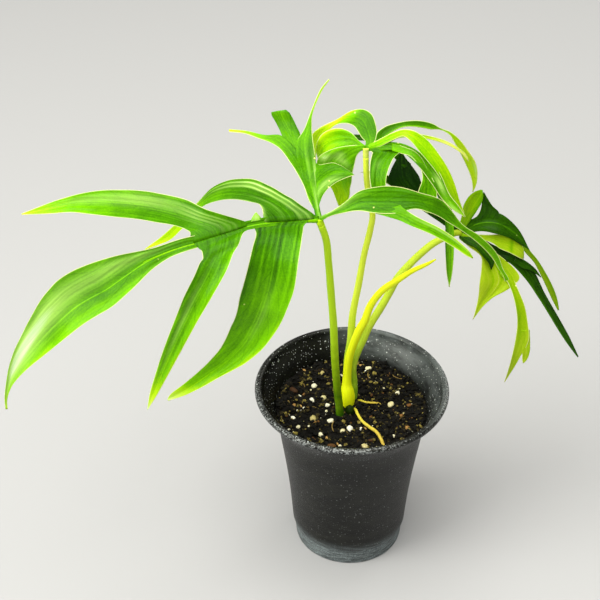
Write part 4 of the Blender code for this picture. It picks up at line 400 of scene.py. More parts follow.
# How each lobe looks. Each list of plain numbers runs evenly from the lobe's root to its tip.
# tint is the tone along its middle: 0 is deep green, 0.45 bright, 0.65 yellow-green and 1 cream.
# left and right are the tones along its two edges, and None takes the middle's. These tones hold painted
# light and shade as well as the leaf's own colour: lobes in shadow are darker, lit and backlit ones paler,
# and a folded lobe's two halves differ by painted shade.
# left_rim and right_rim say how much of the cream rim each edge has, from 0 to 1.
# rib is the strength of the pale midrib, and lean its place across, from -1 to 1.
# Soft pale patches of painted sheen and highlight are listed as (share of the length, place across from -1 to
# 1, half length, half width, strength), and groove lists darker patches of painted shade in creases.
# channel is how far the edges rise over the middle, as a share of the half width.
# pleats is the number of lengthwise folds, pleat their depth, and ripple the height of the edge waves.
PLAIN_LOBE = {
    "tint": [0.35], "left": None, "right": None, "bloom": [], "pleats": 3, "pleat": 0.25, "ripple": 0.35,
    "lean": 0.0, "channel": CHANNEL, "rib": [0.1], "left_rim": [1.0], "right_rim": [1.0], "groove": [],
}
LOBE_LOOKS = {
    "terminal": {
        "tint": [0.28, 0.25, 0.22, 0.21, 0.22, 0.25, 0.3, 0.38, 0.6],
        "left": [0.28, 0.28, 0.28, 0.3, 0.32, 0.34, 0.38, 0.46, 0.7],
        "right": [0.34, 0.3, 0.26, 0.3, 0.42, 0.5, 0.54, 0.56, 0.6],
        "bloom": [
            (0.58, 0.4, 0.14, 0.34, 0.25), (0.74, 0.34, 0.11, 0.46, 0.85), (0.86, 0.15, 0.09, 0.75, 0.95),
            (0.45, 0.5, 0.08, 0.3, 0.25),
        ],
        "pleats": 4, "pleat": 0.45, "ripple": 0.6, "lean": -0.25, "rib": [0.6, 0.5, 0.4, 0.25, 0.1, 0.0],
        "left_rim": [0, 0, 0, 1, 1, 1, 1, 1, 1, 1, 1], "right_rim": [0, 0, 0, 1, 1, 1, 1, 1, 1, 1, 1],
    },
    "upper_long": {
        "tint": [0.2, 0.2, 0.23, 0.28, 0.34, 0.46, 0.62], "left": [0.24, 0.26, 0.3, 0.34, 0.42, 0.54, 0.68],
        "right": [0.2, 0.2, 0.24, 0.3, 0.4, 0.54, 0.68],
        "bloom": [
            (0.42, 0.4, 0.18, 0.35, 0.45), (0.7, 0.3, 0.12, 0.3, 0.25), (0.13, 0.1, 0.1, 0.05, 0.5),
            (0.13, 0.36, 0.1, 0.05, 0.5), (0.13, 0.62, 0.1, 0.05, 0.45), (0.12, -0.2, 0.09, 0.05, 0.35),
        ],
        "pleats": 4, "pleat": 0.4, "ripple": 0.4, "lean": -0.1,
    },
    "upper_arched": {
        "tint": [0.16, 0.17, 0.18, 0.24, 0.36, 0.54, 0.66, 0.7],
        "left": [0.18, 0.22, 0.28, 0.36, 0.5, 0.62, 0.7, 0.7],
        "right": [0.16, 0.18, 0.24, 0.3, 0.4, 0.55, 0.7, 0.7],
        "bloom": [
            (0.3, 0.72, 0.28, 0.06, 0.9), (0.3, 0.36, 0.26, 0.05, 0.85), (0.3, 0.54, 0.26, 0.16, 0.25),
            (0.14, -0.3, 0.1, 0.05, 0.4), (0.2, -0.96, 0.2, 0.07, 0.6),
        ],
        "pleats": 6, "pleat": 0.5, "ripple": 0.2,
    },
    "lower_narrow": {
        "tint": [0.2, 0.22, 0.27, 0.32, 0.36, 0.46, 0.9], "left": [0.18, 0.2, 0.25, 0.32, 0.4, 0.52, 0.92],
        "right": [0.3, 0.38, 0.46, 0.54, 0.6, 0.68, 1.0],
        "bloom": [(0.45, 0.35, 0.2, 0.2, 0.25), (1.0, 0.0, 0.05, 1.2, 1.0)],
        "pleats": 3, "pleat": 0.35, "channel": 0.26,
    },
    "lower_wide": {
        "tint": [0.21, 0.26, 0.32, 0.36, 0.33, 0.35, 0.44, 0.88],
        "left": [0.2, 0.2, 0.24, 0.29, 0.34, 0.4, 0.5, 0.88],
        "right": [0.28, 0.33, 0.4, 0.48, 0.56, 0.62, 0.68, 0.95],
        "bloom": [(0.42, -0.1, 0.12, 0.15, 0.12), (1.0, 0.0, 0.05, 1.2, 0.9)],
        "groove": [
            (0.1, 0.82, 0.2, 0.07, 0.16), (0.1, 0.6, 0.16, 0.05, 0.14), (0.12, 0.36, 0.18, 0.05, 0.16),
            (0.08, 0.12, 0.15, 0.04, 0.14), (0.12, -0.12, 0.18, 0.05, 0.15), (0.09, -0.36, 0.16, 0.04, 0.14),
            (0.1, -0.58, 0.15, 0.05, 0.12), (0.1, -0.8, 0.16, 0.04, 0.14), (0.45, 0.3, 0.2, 0.05, 0.1),
        ],
        "pleats": 8, "pleat": 0.42, "ripple": 0.4,
    },
    "rear_hand": {
        "tint": [0.32, 0.28, 0.25, 0.24, 0.26, 0.3, 0.38, 0.5, 0.62],
        "right": [0.24, 0.24, 0.24, 0.26, 0.28, 0.34, 0.4, 0.5, 0.62],
        "left": [0.2, 0.22, 0.24, 0.24, 0.24, 0.28, 0.38, 0.5, 0.62],
        "bloom": [(0.1, 0.3, 0.12, 0.22, 0.6), (0.32, 0.8, 0.14, 0.14, 0.7), (0.42, 0.1, 0.1, 0.12, 0.3)],
        "pleats": 2, "pleat": 0.3, "ripple": 0.1, "channel": 0.08, "left_rim": [1, 0.6, 0.2, 1, 1, 1, 1],
        "right_rim": [0, 0, 0, 0, 0.3, 1, 1, 1, 1],
    },
    "rear_left_finger": {
        "tint": [0.28, 0.25, 0.22, 0.22, 0.25, 0.34, 0.5, 0.66],
        "left": [0.22, 0.2, 0.18, 0.18, 0.22, 0.34, 0.5, 0.66],
        "right": [0.4, 0.38, 0.34, 0.34, 0.4, 0.5, 0.6, 0.7], "pleats": 2, "pleat": 0.3, "ripple": 0.1,
        "channel": 0.1,
        "left_rim": [0, 0, 0, 0, 0.5, 1, 1],
    },
    "rear_blunt_finger": {
        "tint": [0.34, 0.32, 0.3, 0.26, 0.3], "left": [0.3, 0.28, 0.26, 0.2, 0.22], "pleats": 3,
        "pleat": 0.35, "ripple": 0.1,
        "channel": 0.06, "left_rim": [0, 0, 0, 0.6, 0.6], "right_rim": [0, 0, 0, 0.6, 0.6],
    },
    "rear_right_finger": {
        "tint": [0.3, 0.26, 0.24, 0.24, 0.22, 0.24], "left": [0.3, 0.28, 0.26, 0.26, 0.26, 0.28],
        "bloom": [(0.3, 0.4, 0.28, 0.2, 0.55), (0.5, 0.75, 0.2, 0.12, 0.5)], "pleats": 3, "pleat": 0.4,
        "ripple": 0.1,
        "channel": 0.15,
    },
    "right_hand": {
        "tint": [0.28, 0.23, 0.19, 0.18, 0.24, 0.34, 0.42], "left": [0.4, 0.3, 0.26, 0.28, 0.4, 0.52, 0.58],
        "right": [0.46, 0.34, 0.28, 0.28, 0.5, 0.58, 0.52], "bloom": [(0.08, -0.6, 0.08, 0.4, 0.5)],
        "pleats": 6, "pleat": 0.4, "ripple": 0.25,
    },
    "right_lower_finger": {
        "tint": [0.26, 0.3, 0.32, 0.36, 0.56], "left": [0.34, 0.42, 0.52, 0.66, 0.9],
        "right": [0.34, 0.44, 0.56, 0.7, 0.9],
        "bloom": [(0.6, -0.55, 0.3, 0.2, 0.6)], "ripple": 0.1, "channel": 0.35,
        "left_rim": [0.2, 0.8, 1, 1, 1, 1], "right_rim": [0.6, 1, 1, 1, 1, 1],
    },
    "web_tooth": {"tint": [0.4, 0.5], "bloom": [(0.5, 0.0, 0.5, 1.0, 0.8)], "pleat": 0.0, "ripple": 0.0},
    "front": {
        "tint": [0.2, 0.18, 0.2, 0.22, 0.26, 0.27, 0.28, 0.34],
        "left": [0.16, 0.14, 0.15, 0.18, 0.2, 0.22, 0.26, 0.34],
        "bloom": [(0.5, 0.3, 0.06, 0.2, 0.15)], "pleats": 4, "pleat": 0.45,
    },
    "rear_arch": {
        "tint": [0.3, 0.26, 0.22, 0.24, 0.5, 0.72, 0.68, 0.66, 0.68, 0.7, 0.74],
        "left": [0.34, 0.3, 0.24, 0.3, 0.84, 0.86, 0.8, 0.76, 0.8, 0.8, 0.8],
        "right": [0.3, 0.26, 0.24, 0.26, 0.34, 0.5, 0.5, 0.56, 0.6, 0.66, 0.7],
    },
    "left_upper": {
        "tint": [0.36, 0.34, 0.36, 0.46, 0.54, 0.56, 0.6],
        "left": [0.36, 0.4, 0.56, 0.7, 0.76, 0.76, 0.8], "pleats": 3, "pleat": 0.4,
    },
    "left": {
        "tint": [0.3, 0.32, 0.36, 0.36, 0.38, 0.5, 0.58, 0.62],
        "left": [0.4, 0.44, 0.5, 0.52, 0.56, 0.64, 0.66, 0.68],
        "right": [0.3, 0.3, 0.33, 0.38, 0.46, 0.56, 0.62, 0.66],
        "bloom": [(0.42, 0.75, 0.05, 0.22, 0.9), (0.36, -0.1, 0.04, 0.5, 0.4), (0.3, 0.3, 0.04, 0.3, 0.4)],
        "pleats": 3, "pleat": 0.5,
    },
    "outer_arch": {
        "tint": [0.26, 0.22, 0.19, 0.19, 0.22, 0.27, 0.38, 0.6, 0.74, 0.72, 0.66, 0.7, 0.74],
        "left": [0.34, 0.4, 0.5, 0.6, 0.66, 0.66, 0.66, 0.7, 0.7, 0.64, 0.6, 0.66, 0.7],
        "right": [0.28, 0.28, 0.27, 0.27, 0.3, 0.36, 0.48, 0.76, 0.84, 0.86, 0.88, 0.9, 0.9],
        "bloom": [(0.86, -0.6, 0.06, 0.3, 0.8)],
    },
    "inner_arch": {
        "tint": [0.3, 0.3, 0.3, 0.4, 0.6, 0.8, 0.86, 0.86, 0.84],
        "left": [0.4, 0.5, 0.7, 0.84, 0.9, 0.9, 0.9, 0.9, 0.9],
        "right": [0.3, 0.3, 0.3, 0.34, 0.5, 0.76, 0.84, 0.84, 0.84],
    },
    "pale": {
        "tint": [0.4, 0.5, 0.56, 0.54, 0.54, 0.56, 0.6, 0.64],
        "left": [0.46, 0.56, 0.6, 0.48, 0.44, 0.46, 0.52, 0.6],
        "right": [0.44, 0.52, 0.58, 0.62, 0.64, 0.66, 0.68, 0.7], "pleats": 2, "pleat": 0.3,
    },
    "long_hanging": {
        "tint": [0.28, 0.26, 0.26, 0.28, 0.27, 0.26, 0.28, 0.34, 0.44],
        "right": [0.34, 0.36, 0.36, 0.34, 0.3, 0.27, 0.28, 0.34, 0.5],
        "bloom": [(0.68, -0.2, 0.07, 0.35, 0.8), (0.9, 0.5, 0.06, 0.4, 0.5)], "channel": 0.3, "pleats": 2,
        "left_rim": [0.2, 0.3, 0.5, 1, 1, 1, 1], "right_rim": [0.2, 0.3, 0.5, 1, 1, 1, 1],
    },
    "low_hanging": {
        "tint": [0.3, 0.28, 0.26, 0.3, 0.34, 0.44], "left": [0.2, 0.16, 0.14, 0.16, 0.2, 0.4],
        "right": [0.4, 0.42, 0.44, 0.46, 0.5, 0.6], "channel": 0.35, "pleats": 2,
        "left_rim": [0, 0, 0.6, 1, 1], "right_rim": [0, 0, 0.6, 1, 1],
    },
    "short": {
        "tint": [0.4, 0.38, 0.34, 0.3, 0.26, 0.3], "left": [0.4, 0.36, 0.3, 0.26, 0.2, 0.26],
        "right": [0.4, 0.4, 0.36, 0.36, 0.36, 0.4],
    },
    "pale_broad": {
        "tint": [0.66, 0.7, 0.75, 0.77, 0.77, 0.78, 0.8, 0.82],
        "left": [0.74, 0.78, 0.82, 0.85, 0.85, 0.84, 0.82, 0.82],
        "groove": [
            (0.5, -0.15, 0.16, 0.07, 0.22), (0.42, 0.35, 0.12, 0.12, 0.12), (0.62, 0.3, 0.1, 0.08, 0.16),
        ],
        "pleats": 3, "pleat": 0.5,
    },
    "pale_tab": {
        "tint": [0.56, 0.64, 0.68, 0.7, 0.76, 0.76], "groove": [(0.72, 0.0, 0.03, 1.5, 0.25)], "pleats": 2,
    },
    "pale_long": {
        "tint": [0.6, 0.66, 0.68, 0.7, 0.74, 0.8], "right": [0.7, 0.78, 0.8, 0.82, 0.82, 0.84],
        "pleats": 2,
    },
    "pale_side_tip": {"tint": [0.7, 0.76, 0.8], "left_rim": [0, 0, 0, 1, 1], "right_rim": [0, 0, 0, 1, 1]},
    "upright_flap": {
        "tint": [0.44, 0.54, 0.58, 0.54, 0.5], "left": [0.4, 0.46, 0.5, 0.46, 0.44],
        "right": [0.5, 0.56, 0.6, 0.6, 0.54],
        "left_rim": [0.4], "right_rim": [0.4],
    },
    "upright_right": {
        "tint": [0.14, 0.14, 0.12, 0.12], "channel": 0.1, "left_rim": [0, 0.3], "right_rim": [0, 0.3],
    },
    "middle": {
        "tint": [0.14, 0.15, 0.12, 0.1, 0.12], "rib": [0.25, 0.3, 0.2, 0.1], "channel": 0.1,
        "left_rim": [0.3], "right_rim": [0.3],
    },
    "rear_hanging": {
        "tint": [0.3, 0.44, 0.56, 0.6, 0.6], "left": [0.3, 0.5, 0.62, 0.66, 0.66], "left_rim": [0.4],
        "right_rim": [0.4],
    },
    "long_dark": {
        "tint": [0.08, 0.06, 0.06, 0.08, 0.12], "left": [0.1, 0.1, 0.3, 0.3, 0.3], "channel": 0.3,
        "pleats": 2, "left_rim": [0.3, 0.6, 0.8], "right_rim": [0.2, 0.3],
    },
    "dark_finger": {"tint": [0.08, 0.1], "left_rim": [0, 0.4, 0.5], "right_rim": [0, 0.4, 0.5]},
    "short_dark": {"tint": [0.08, 0.1], "left_rim": [0.3], "right_rim": [0.3]},
    "rear_low_finger": {"tint": [0.1, 0.15]},
    "rear_high_finger": {"tint": [0.1, 0.12], "left_rim": [0.2], "right_rim": [0.2]},
}
# Leaf C's rear hand is given the deepest tone, as painted shade.
LEAF_C_LOOKS = {
    "rear_hand": {
        "tint": [0.0, 0.0, 0.0], "left": None, "right": None, "bloom": [], "pleats": 4, "pleat": 0.4,
        "left_rim": [0.2],
        "right_rim": [0.2], "channel": 0.1,
    },
}

# Each point of a stem is (x, y, z, radius) from its buried foot up.
BURIED_LEVEL = 88.0
PETIOLE_A = [
    (-7.3, -8.5, BURIED_LEVEL, 2.4), (-7.3, -8.9, 104, 2.5), (-9.3, -9.5, 127, 2.35),
    (-11, -11, 150, 2.3), (-12.4, -14, 180, 2.25), (-14.4, -17, 208, 2.15), (-15.9, -19, 228, 2.1),
    (-17.9, -21, 247, 2.05), (-20.5, -21.8, 256, 2.1),
]
PETIOLE_B = [
    (-2.4, 12.0, BURIED_LEVEL, 2.3), (-2.4, 12.2, 104, 2.4), (-2.5, 14, 130, 2.3),
    (-1, 15, 144, 2.3), (0, 15, 165, 2.2), (3, 15.5, 187, 2.05), (6, 16, 210, 1.9),
    (9, 16, 227, 1.85), (10, 16, 236, 1.8), (8, 17, 247, 1.75), (6, 18, 260, 1.7), (5.2, 18, 275, 1.7),
]
PETIOLE_C = [
    (1.6, 7.4, BURIED_LEVEL, 2.2), (1.6, 7.6, 104, 2.3), (1.9, 7.9, 111, 2.2), (1.6, 8.4, 118, 2.1),
    (0.9, 9.5, 125.5, 2.1), (1.9, 10.7, 133, 2.1), (4, 12.6, 139.3, 2.2), (6.8, 15.2, 145.1, 2.3),
    (9.4, 18.2, 150.6, 2.4), (12.8, 21.6, 155.7, 2.4), (16.8, 25.2, 161, 2.4), (22, 30, 168.5, 2.4),
    (27, 33, 178, 2.4), (33, 36, 185, 2.4), (41, 40, 192, 2.3), (49, 43, 198, 2.2), (60, 45.5, 203, 2.1),
]
NEW_SHOOT = [
    (-2.2, 1.0, BURIED_LEVEL, 3.0), (-2.2, 1.2, 103, 3.4), (-2.2, 1.5, 107, 3.9),
    (-2.4, 2.1, 111.5, 4.1), (-2.6, 2.7, 115, 3.7), (-2.9, 3.7, 119, 2.8), (-2.8, 4.8, 124.2, 2.45),
    (-2.5, 5.8, 129.8, 2.4), (-1.8, 6.8, 137.7, 2.35), (0.9, 8, 149.1, 2.35), (3.9, 9.2, 157.7, 2.4),
    (7.2, 10.4, 164.4, 2.3), (10.1, 12, 173.5, 2.15), (18.8, 14, 185.8, 2.0), (26, 16, 190, 1.8),
    (34, 18, 195, 1.5), (45, 20, 200, 0.9), (49, 21, 202, 0.4),
]
STEM_STUB = [
    (-1.5, -6.2, BURIED_LEVEL, 2.3), (-1.5, -6.2, 104, 2.5), (-1.3, -6.0, 108, 2.5),
    (-1.1, -5.8, 109.5, 1.6),
]
AERIAL_ROOT_LONG = [
    (1.2, -2.8, 97, 0.8), (1.3, -3.0, 104.5, 0.85), (2.4, -6.4, 107.2, 0.85), (3.8, -11.5, 107.3, 0.85),
    (6.9, -18.1, 107.2, 0.9), (10.7, -22.4, 107, 1.0), (14.2, -26.3, 107, 1.0),
    (16.5, -31.2, 106.8, 1.0), (18.4, -36.2, 104.6, 0.9), (19, -38.5, 97, 0.7),
]
AERIAL_ROOT_SHORT = [
    (3.5, 4.6, 97, 0.6), (3.6, 4.4, 104.5, 0.6), (5.4, 2.7, 107, 0.65), (8.5, 0.9, 107.1, 0.65),
    (12.2, 0.4, 107, 0.65), (15.3, 0.5, 106.7, 0.65), (18, 1.3, 105, 0.6), (19.5, 2, 98, 0.55),
]
SHEATH_STEP = 0.16  # step of a rolled leaf's seam, as a share of its radius

# Where the photograph was taken from
CAMERA_PLACE = (-32.0, -706.4, 720.7)
CAMERA_DOWN = 37.05
CAMERA_LENS = 90.0
CAMERA_SENSOR = 36.0

# The sheet under the pot
FLOOR_REACH = 12000.0
FLOOR_GAP = 0.2
FLOOR_COLOUR = (0.46, 0.465, 0.49)

# Each light: its place and size in metres, watts, colour and the width of its beam in degrees
LIGHTS = {
    "window_left": ((-2.375, -0.95, 1.625), 1.9, 23.0, (1.0, 0.98, 0.88), 100.0),
    "overhead": ((-0.2, -0.3, 1.7), 1.8, 44.0, (1.0, 0.98, 0.88), 180.0),
    "behind_right": ((0.9, 1.0, 1.1), 0.6, 4.0, (1.0, 0.98, 0.9), 180.0),
}
LIGHT_TARGET = (0.0, 0.0, 0.2)
SKY_COLOUR = (1.0, 0.98, 0.9)
SKY_STRENGTH = 0.32


# Shapes. A shell is (points, list of face arrays, facts), and a fact is one number for each point.


def unit(vectors):
    """Each vector over its own length."""
    return vectors / np.linalg.norm(vectors, axis=-1, keepdims=True)


def smooth_path(points, steps):
    """Even samples of the cubic Hermite curve through the points, whose slopes are central differences."""
    knots = np.asarray(points, float)
    length = np.concatenate([[0.0], np.cumsum(np.linalg.norm(np.diff(knots[:, :3], axis=0), axis=1))])
    slopes = np.gradient(knots, length, axis=0)
    at = np.linspace(0.0, length[-1], steps + 1)
    cell = np.clip(np.searchsorted(length, at, side="right") - 1, 0, len(knots) - 2)
    span = (length[cell + 1] - length[cell])[:, None]
    t = (at - length[cell])[:, None] / span
    return (
        (2 * t**3 - 3 * t**2 + 1) * knots[cell]
        + (t**3 - 2 * t**2 + t) * span * slopes[cell]
        + (-2 * t**3 + 3 * t**2) * knots[cell + 1]
        + (t**3 - t**2) * span * slopes[cell + 1]
    )


def run_of(centre):
    """The distance along a line of points from its first."""
    return np.concatenate([[0.0], np.cumsum(np.linalg.norm(np.diff(centre, axis=0), axis=1))])


def outward(points, faces):
    """The face arrays, turned round if the closed surface that they make has a negative volume."""
    volume = 0.0
    for group in faces:
        for k in range(1, group.shape[1] - 1):
            a, b, c = points[group[:, 0]], points[group[:, k]], points[group[:, k + 1]]
            volume += np.einsum("ij,ij->i", a, np.cross(b, c)).sum()
    return faces if volume > 0 else [group[:, ::-1] for group in faces]


def closed_shell(rings, facts):
    """A closed shell from rings of points that follow each other, with a pole in the middle of each end."""
    count, sides = rings.shape[:2]
    i, j = np.mgrid[0 : count - 1, 0:sides]
    a, b = i * sides + j, i * sides + (j + 1) % sides
    quads = np.stack([a, b, b + sides, a + sides], -1).reshape(-1, 4)
    around, last = np.arange(sides), (count - 1) * sides
    ahead = (around + 1) % sides
    first_pole, last_pole = np.full(sides, count * sides), np.full(sides, count * sides + 1)
    fans = np.concatenate(
        [np.stack([first_pole, ahead, around], -1), np.stack([last_pole, last + around, last + ahead], -1)]
    )
    points = np.concatenate([rings.reshape(-1, 3), rings[0].mean(0)[None], rings[-1].mean(0)[None]])
    values = {
        name: np.concatenate([value.reshape(-1), [value[0].mean(), value[-1].mean()]])
        for name, value in facts.items()
    }
    return points, outward(points, [quads, fans]), values


def joined(shells):
    """Several shells as one. A fact that a shell lacks is 0 on it."""
    names = sorted({name for _, _, facts in shells for name in facts})
    starts = np.cumsum([0] + [len(points) for points, _, _ in shells])
    points = np.concatenate([points for points, _, _ in shells])
    faces = [group + start for (_, groups, _), start in zip(shells, starts) for group in groups]
    facts = {
        name: np.concatenate([facts.get(name, np.zeros(len(points))) for points, _, facts in shells])
        for name in names
    }
    return points, faces, facts


def new_object(name, points, faces):
    """An object in the scene, from points in millimetres and the faces' lists of point numbers."""
    mesh = bpy.data.meshes.new(name)
    mesh.from_pydata((np.asarray(points) * MM).tolist(), [], faces)
    obj = bpy.data.objects.new(name, mesh)
    bpy.context.scene.collection.objects.link(obj)
    return obj


def piece(name, shell, finish, replaced=(), smooth=True):
    """One object from a shell, which rides on the root body and may stand for CAD nodes."""
    points, groups, facts = shell
    faces = [face for group in groups for face in group.tolist()]
    obj = new_object(name, points, faces)
    mesh = obj.data
    for fact, values in facts.items():
        layer = mesh.attributes.new(fact, "FLOAT", "POINT")
        layer.data.foreach_set("value", values.astype(np.float32))
    mesh.polygons.foreach_set("use_smooth", np.full(len(faces), smooth))
    mesh.materials.append(finish)
    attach(obj, "root")
    if replaced:
        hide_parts(*replaced)
    return obj


def lobe_path(points, rows):
    """A lobe's middle, half widths and directions across and out of it, row by row, on its smooth path."""
    path = smooth_path(points, rows)
    centre = path[:, :3]
    if path.shape[1] == 6:
        half = np.linalg.norm(path[:, 3:], axis=1)[:, None]
        side = unit(path[:, 3:])
    else:
        half = path[:, 3:4]
        side = unit(np.cross(np.gradient(centre, axis=0), TOWARD_LIGHT))
    return centre, np.maximum(half, FINEST_HALF), side, unit(np.cross(side, np.gradient(centre, axis=0)))


def along_lobe(values, share):
    """A look's list of numbers, spread evenly from root to tip and read at each share of the length."""
    return np.interp(share, np.linspace(0, 1, len(values)), values)


def patches(share, v, table):
    """The sum of soft patches, each its strength x exp(-(along / half length)^2 - (across / half width)^2).

    along and across are the distances from the patch's middle.
    """
    total = np.zeros(np.broadcast(share, v).shape)
    for at_share, at_v, length, width, strength in table:
        total = total + strength * np.exp(-(((share - at_share) / length) ** 2) - ((v - at_v) / width) ** 2)
    return total


def lobe_shell(points, look, index):
    """One lobe of a blade as a closed thin shell.

    Along it runs the curve through its points. Across it v goes from -1 to 1, closer together at the edges.
    Past its flat root the height over the middle is channel x half width x |v|^1.5, less pleat x
    (1 - cos(pleats x pi x v)) / 2, plus 0.6 x ripple x v^2 x a long and a short sine along the edge.
    The thickness is BLADE x (1 - v^6), so the edge is fine, and less where the half width is under TIP_HALF.
    The tint is the middle's, turned into the left or right edge's by v^2, less the grooves, which are painted
    shade.
    The edge fact is the distance to the edge, made 3 mm larger at the root and 2 mm where no rim should show.
    """
    run = run_of(np.asarray(points, float)[:, :3])[-1]
    centre, half, side, normal = lobe_path(points, max(FEWEST_ROWS, round(run / GRID_STEP)))
    columns = next(count for width, count in COLUMNS if half.max() > width)
    along = run_of(centre)[:, None]
    share = along / along[-1]
    v = np.sin(np.linspace(-math.pi / 2, math.pi / 2, columns))[None]
    settled = np.clip(along / FLAT_ROOT, 0.0, 1.0) ** 2
    calm = settled * np.clip(half / CALM_HALF, 0.0, 1.0) * np.sin(np.pi * np.clip(share * 1.1, 0, 1)) ** 0.5
    wave = np.sin(along / LONG_WAVE + index * 1.7 + 1.3 * v)
    wave = wave + 0.5 * np.sin(along / SHORT_WAVE + index + 2.0 * v)
    lift = (
        look["channel"] * settled * half * np.abs(v) ** 1.5
        - look["pleat"] * calm * (1 - np.cos(look["pleats"] * np.pi * v)) / 2
        + look["ripple"] * calm * v**2 * wave * 0.6
    )
    thick = BLADE * (1 - v**6) * np.clip(half / TIP_HALF, 0.4, 1.0)
    middle = centre[:, None] + side[:, None] * (half * v)[..., None]
    top = middle + normal[:, None] * (lift + thick / 2)[..., None]
    under = middle + normal[:, None] * (lift - thick / 2)[..., None]
    tint = along_lobe(look["tint"], share)
    left = along_lobe(look["left"] or look["tint"], share)
    right = along_lobe(look["right"] or look["tint"], share)
    tint = tint + (left - tint) * np.clip(v, 0, 1) ** 2 + (right - tint) * np.clip(-v, 0, 1) ** 2
    rim = np.where(v > 0, along_lobe(look["left_rim"], share), along_lobe(look["right_rim"], share))
    near_root = np.exp(-((along / ROOT_FADE) ** 2))
    upper_facts = {
        "across": half * (v - look["lean"]),
        "edge": half * (1 - np.abs(v)) + 3.0 * near_root + 2.0 * (1 - rim),
        "rib": along_lobe(look["rib"], share) + 0.0 * v,
        "along": along + LOBE_OFFSET * index + 0.0 * v,
        # The grooves darken the tint as painted shade in the creases
        "tint": tint - patches(share, v, look["groove"]),
        # Patches of painted sheen and highlight
        "bloom": patches(share, v, look["bloom"]),
    }
    facts = {name: np.concatenate([value, value[:, -2:0:-1]], axis=1) for name, value in upper_facts.items()}
    facts["under"] = np.zeros_like(facts["tint"])
    facts["under"][:, columns:] = 1.0
    return closed_shell(np.concatenate([top, under[:, -2:0:-1]], axis=1), facts)


def tube_shell(points, steps, sides, radius_rule=None, extra=None):
    """A closed tube along the points: circles of their radii, scaled by radius_rule(share along, angle)."""
    path = smooth_path(points, steps)
    centre = path[:, :3]
    ahead = unit(np.gradient(centre, axis=0))
    across = unit(np.cross(ahead, (0.0, 1.0, 0.35)))
    upward = np.cross(across, ahead)
    turn = np.linspace(0.0, 2 * math.pi, sides, endpoint=False)[None]
    along = run_of(centre)[:, None]
    share = along / along[-1]
    radius = np.maximum(path[:, 3:4], FINEST_RADIUS) * np.ones_like(turn)
    if radius_rule is not None:
        radius = radius * radius_rule(share, turn)
    rings = (
        centre[:, None]
        + across[:, None] * (radius * np.cos(turn))[..., None]
        + upward[:, None] * (radius * np.sin(turn))[..., None]
    )
    flat = np.ones_like(radius)
    facts = {"level": share * flat, "along": along * flat, "round": turn / (2 * math.pi) * flat}
    for name, value in (extra or {}).items():
        facts[name] = value * flat
    return closed_shell(rings, facts)


def grooved(share, turn):
    """A stalk's section: a circle, less 10% in a groove on its upper side, with swellings of 2% along it."""
    groove = np.exp(-((turn - math.pi * 0.5) ** 2) / 0.1)
    return 1 - 0.1 * groove * np.clip(share * 3, 0, 1) + 0.02 * np.sin(share * 37) + 0.008 * np.sin(9 * turn)


def rolled(share, turn):
    """A rolled leaf's section: its radius grows by SHEATH_STEP once round, and drops back at the seam."""
    return 1 + SHEATH_STEP * (turn / (2 * math.pi)) + 0.015 * np.sin(6 * turn + 9 * share)


def rooty(share, turn):
    """A root's section: a circle with the sum of three sines along and round it, each of 4.5%."""
    bumps = np.sin(share * 61 + 2 * turn) + np.sin(share * 37 - 3 * turn + 1) + np.sin(share * 97 + turn)
    return 1 + 0.045 * bumps


def main_vein(points, thick, thin):
    """The curve of a blade's main vein: it lies under a lobe's middle, and thins steadily from its root."""
    radii = np.linspace(thick, thin, len(points))
    return [(x, y, z - VEIN_SINK, radius) for (x, y, z, *_), radius in zip(points, radii)]


def leaf_shell(lobes, looks, stalk, hub, vein, collar_look):
    """A blade: its lobes, its main vein and the collar that stands on the end of its stalk.

    The collar is a tube that goes on from the stalk's last radius, straight at first, and ends at the hub.
    """
    path = smooth_path(stalk, STALK_ROWS)
    end, radius = path[-1, :3], path[-1, 3]
    ahead = unit(end - path[-2, :3])
    start = end + ahead * SHOWN_GAP
    collar = [(*start, radius), (*(start + ahead * COLLAR_LENGTH), radius), (*hub, HUB_RADIUS)]
    tint, brown = collar_look
    collar_facts = {"edge": 5.0, "across": 3.0, "tint": tint, "brown": brown}
    vein_facts = {"edge": 5.0, "across": 2.0, "tint": 0.5}
    shells = [tube_shell(collar, 12, 24, extra=collar_facts), tube_shell(vein, 60, 16, extra=vein_facts)]
    for index, (name, points) in enumerate(lobes.items()):
        look = {**PLAIN_LOBE, **LOBE_LOOKS.get(name, {}), **looks.get(name, {})}
        shells.append(lobe_shell(points, look, index))
    return joined(shells)


def pot_inside():
    """The inner wall (radius, height) from under the lip down to the floor."""
    wall = [(radius - WALL, height) for radius, height in [NECK, *reversed(WALL_OUTLINE)]]
    foot = FOOT_RADIUS + FOOT_FLARE + FOOT_STEP - WALL
    return [*FLARE_INSIDE, *wall, (foot, FOOT_HEIGHT + FOOT_STEP_RISE), (FOOT_RADIUS - WALL / 2, FLOOR)]


def rounded_line(corners, steps):
    """Even samples of the Hermite curve through corners (radius, height)."""
    flat = [(radius, 0.0, height, 0.0) for radius, height in corners]
    return smooth_path(flat, steps)[:, [0, 2]]


def arc(centre, radius, first, last, count):
    """Points (radius, height) round a centre, from one angle to another in degrees."""
    turn = np.radians(np.linspace(first, last, count))[:, None]
    return np.array([centre]) + radius * np.hstack([np.cos(turn), np.sin(turn)])


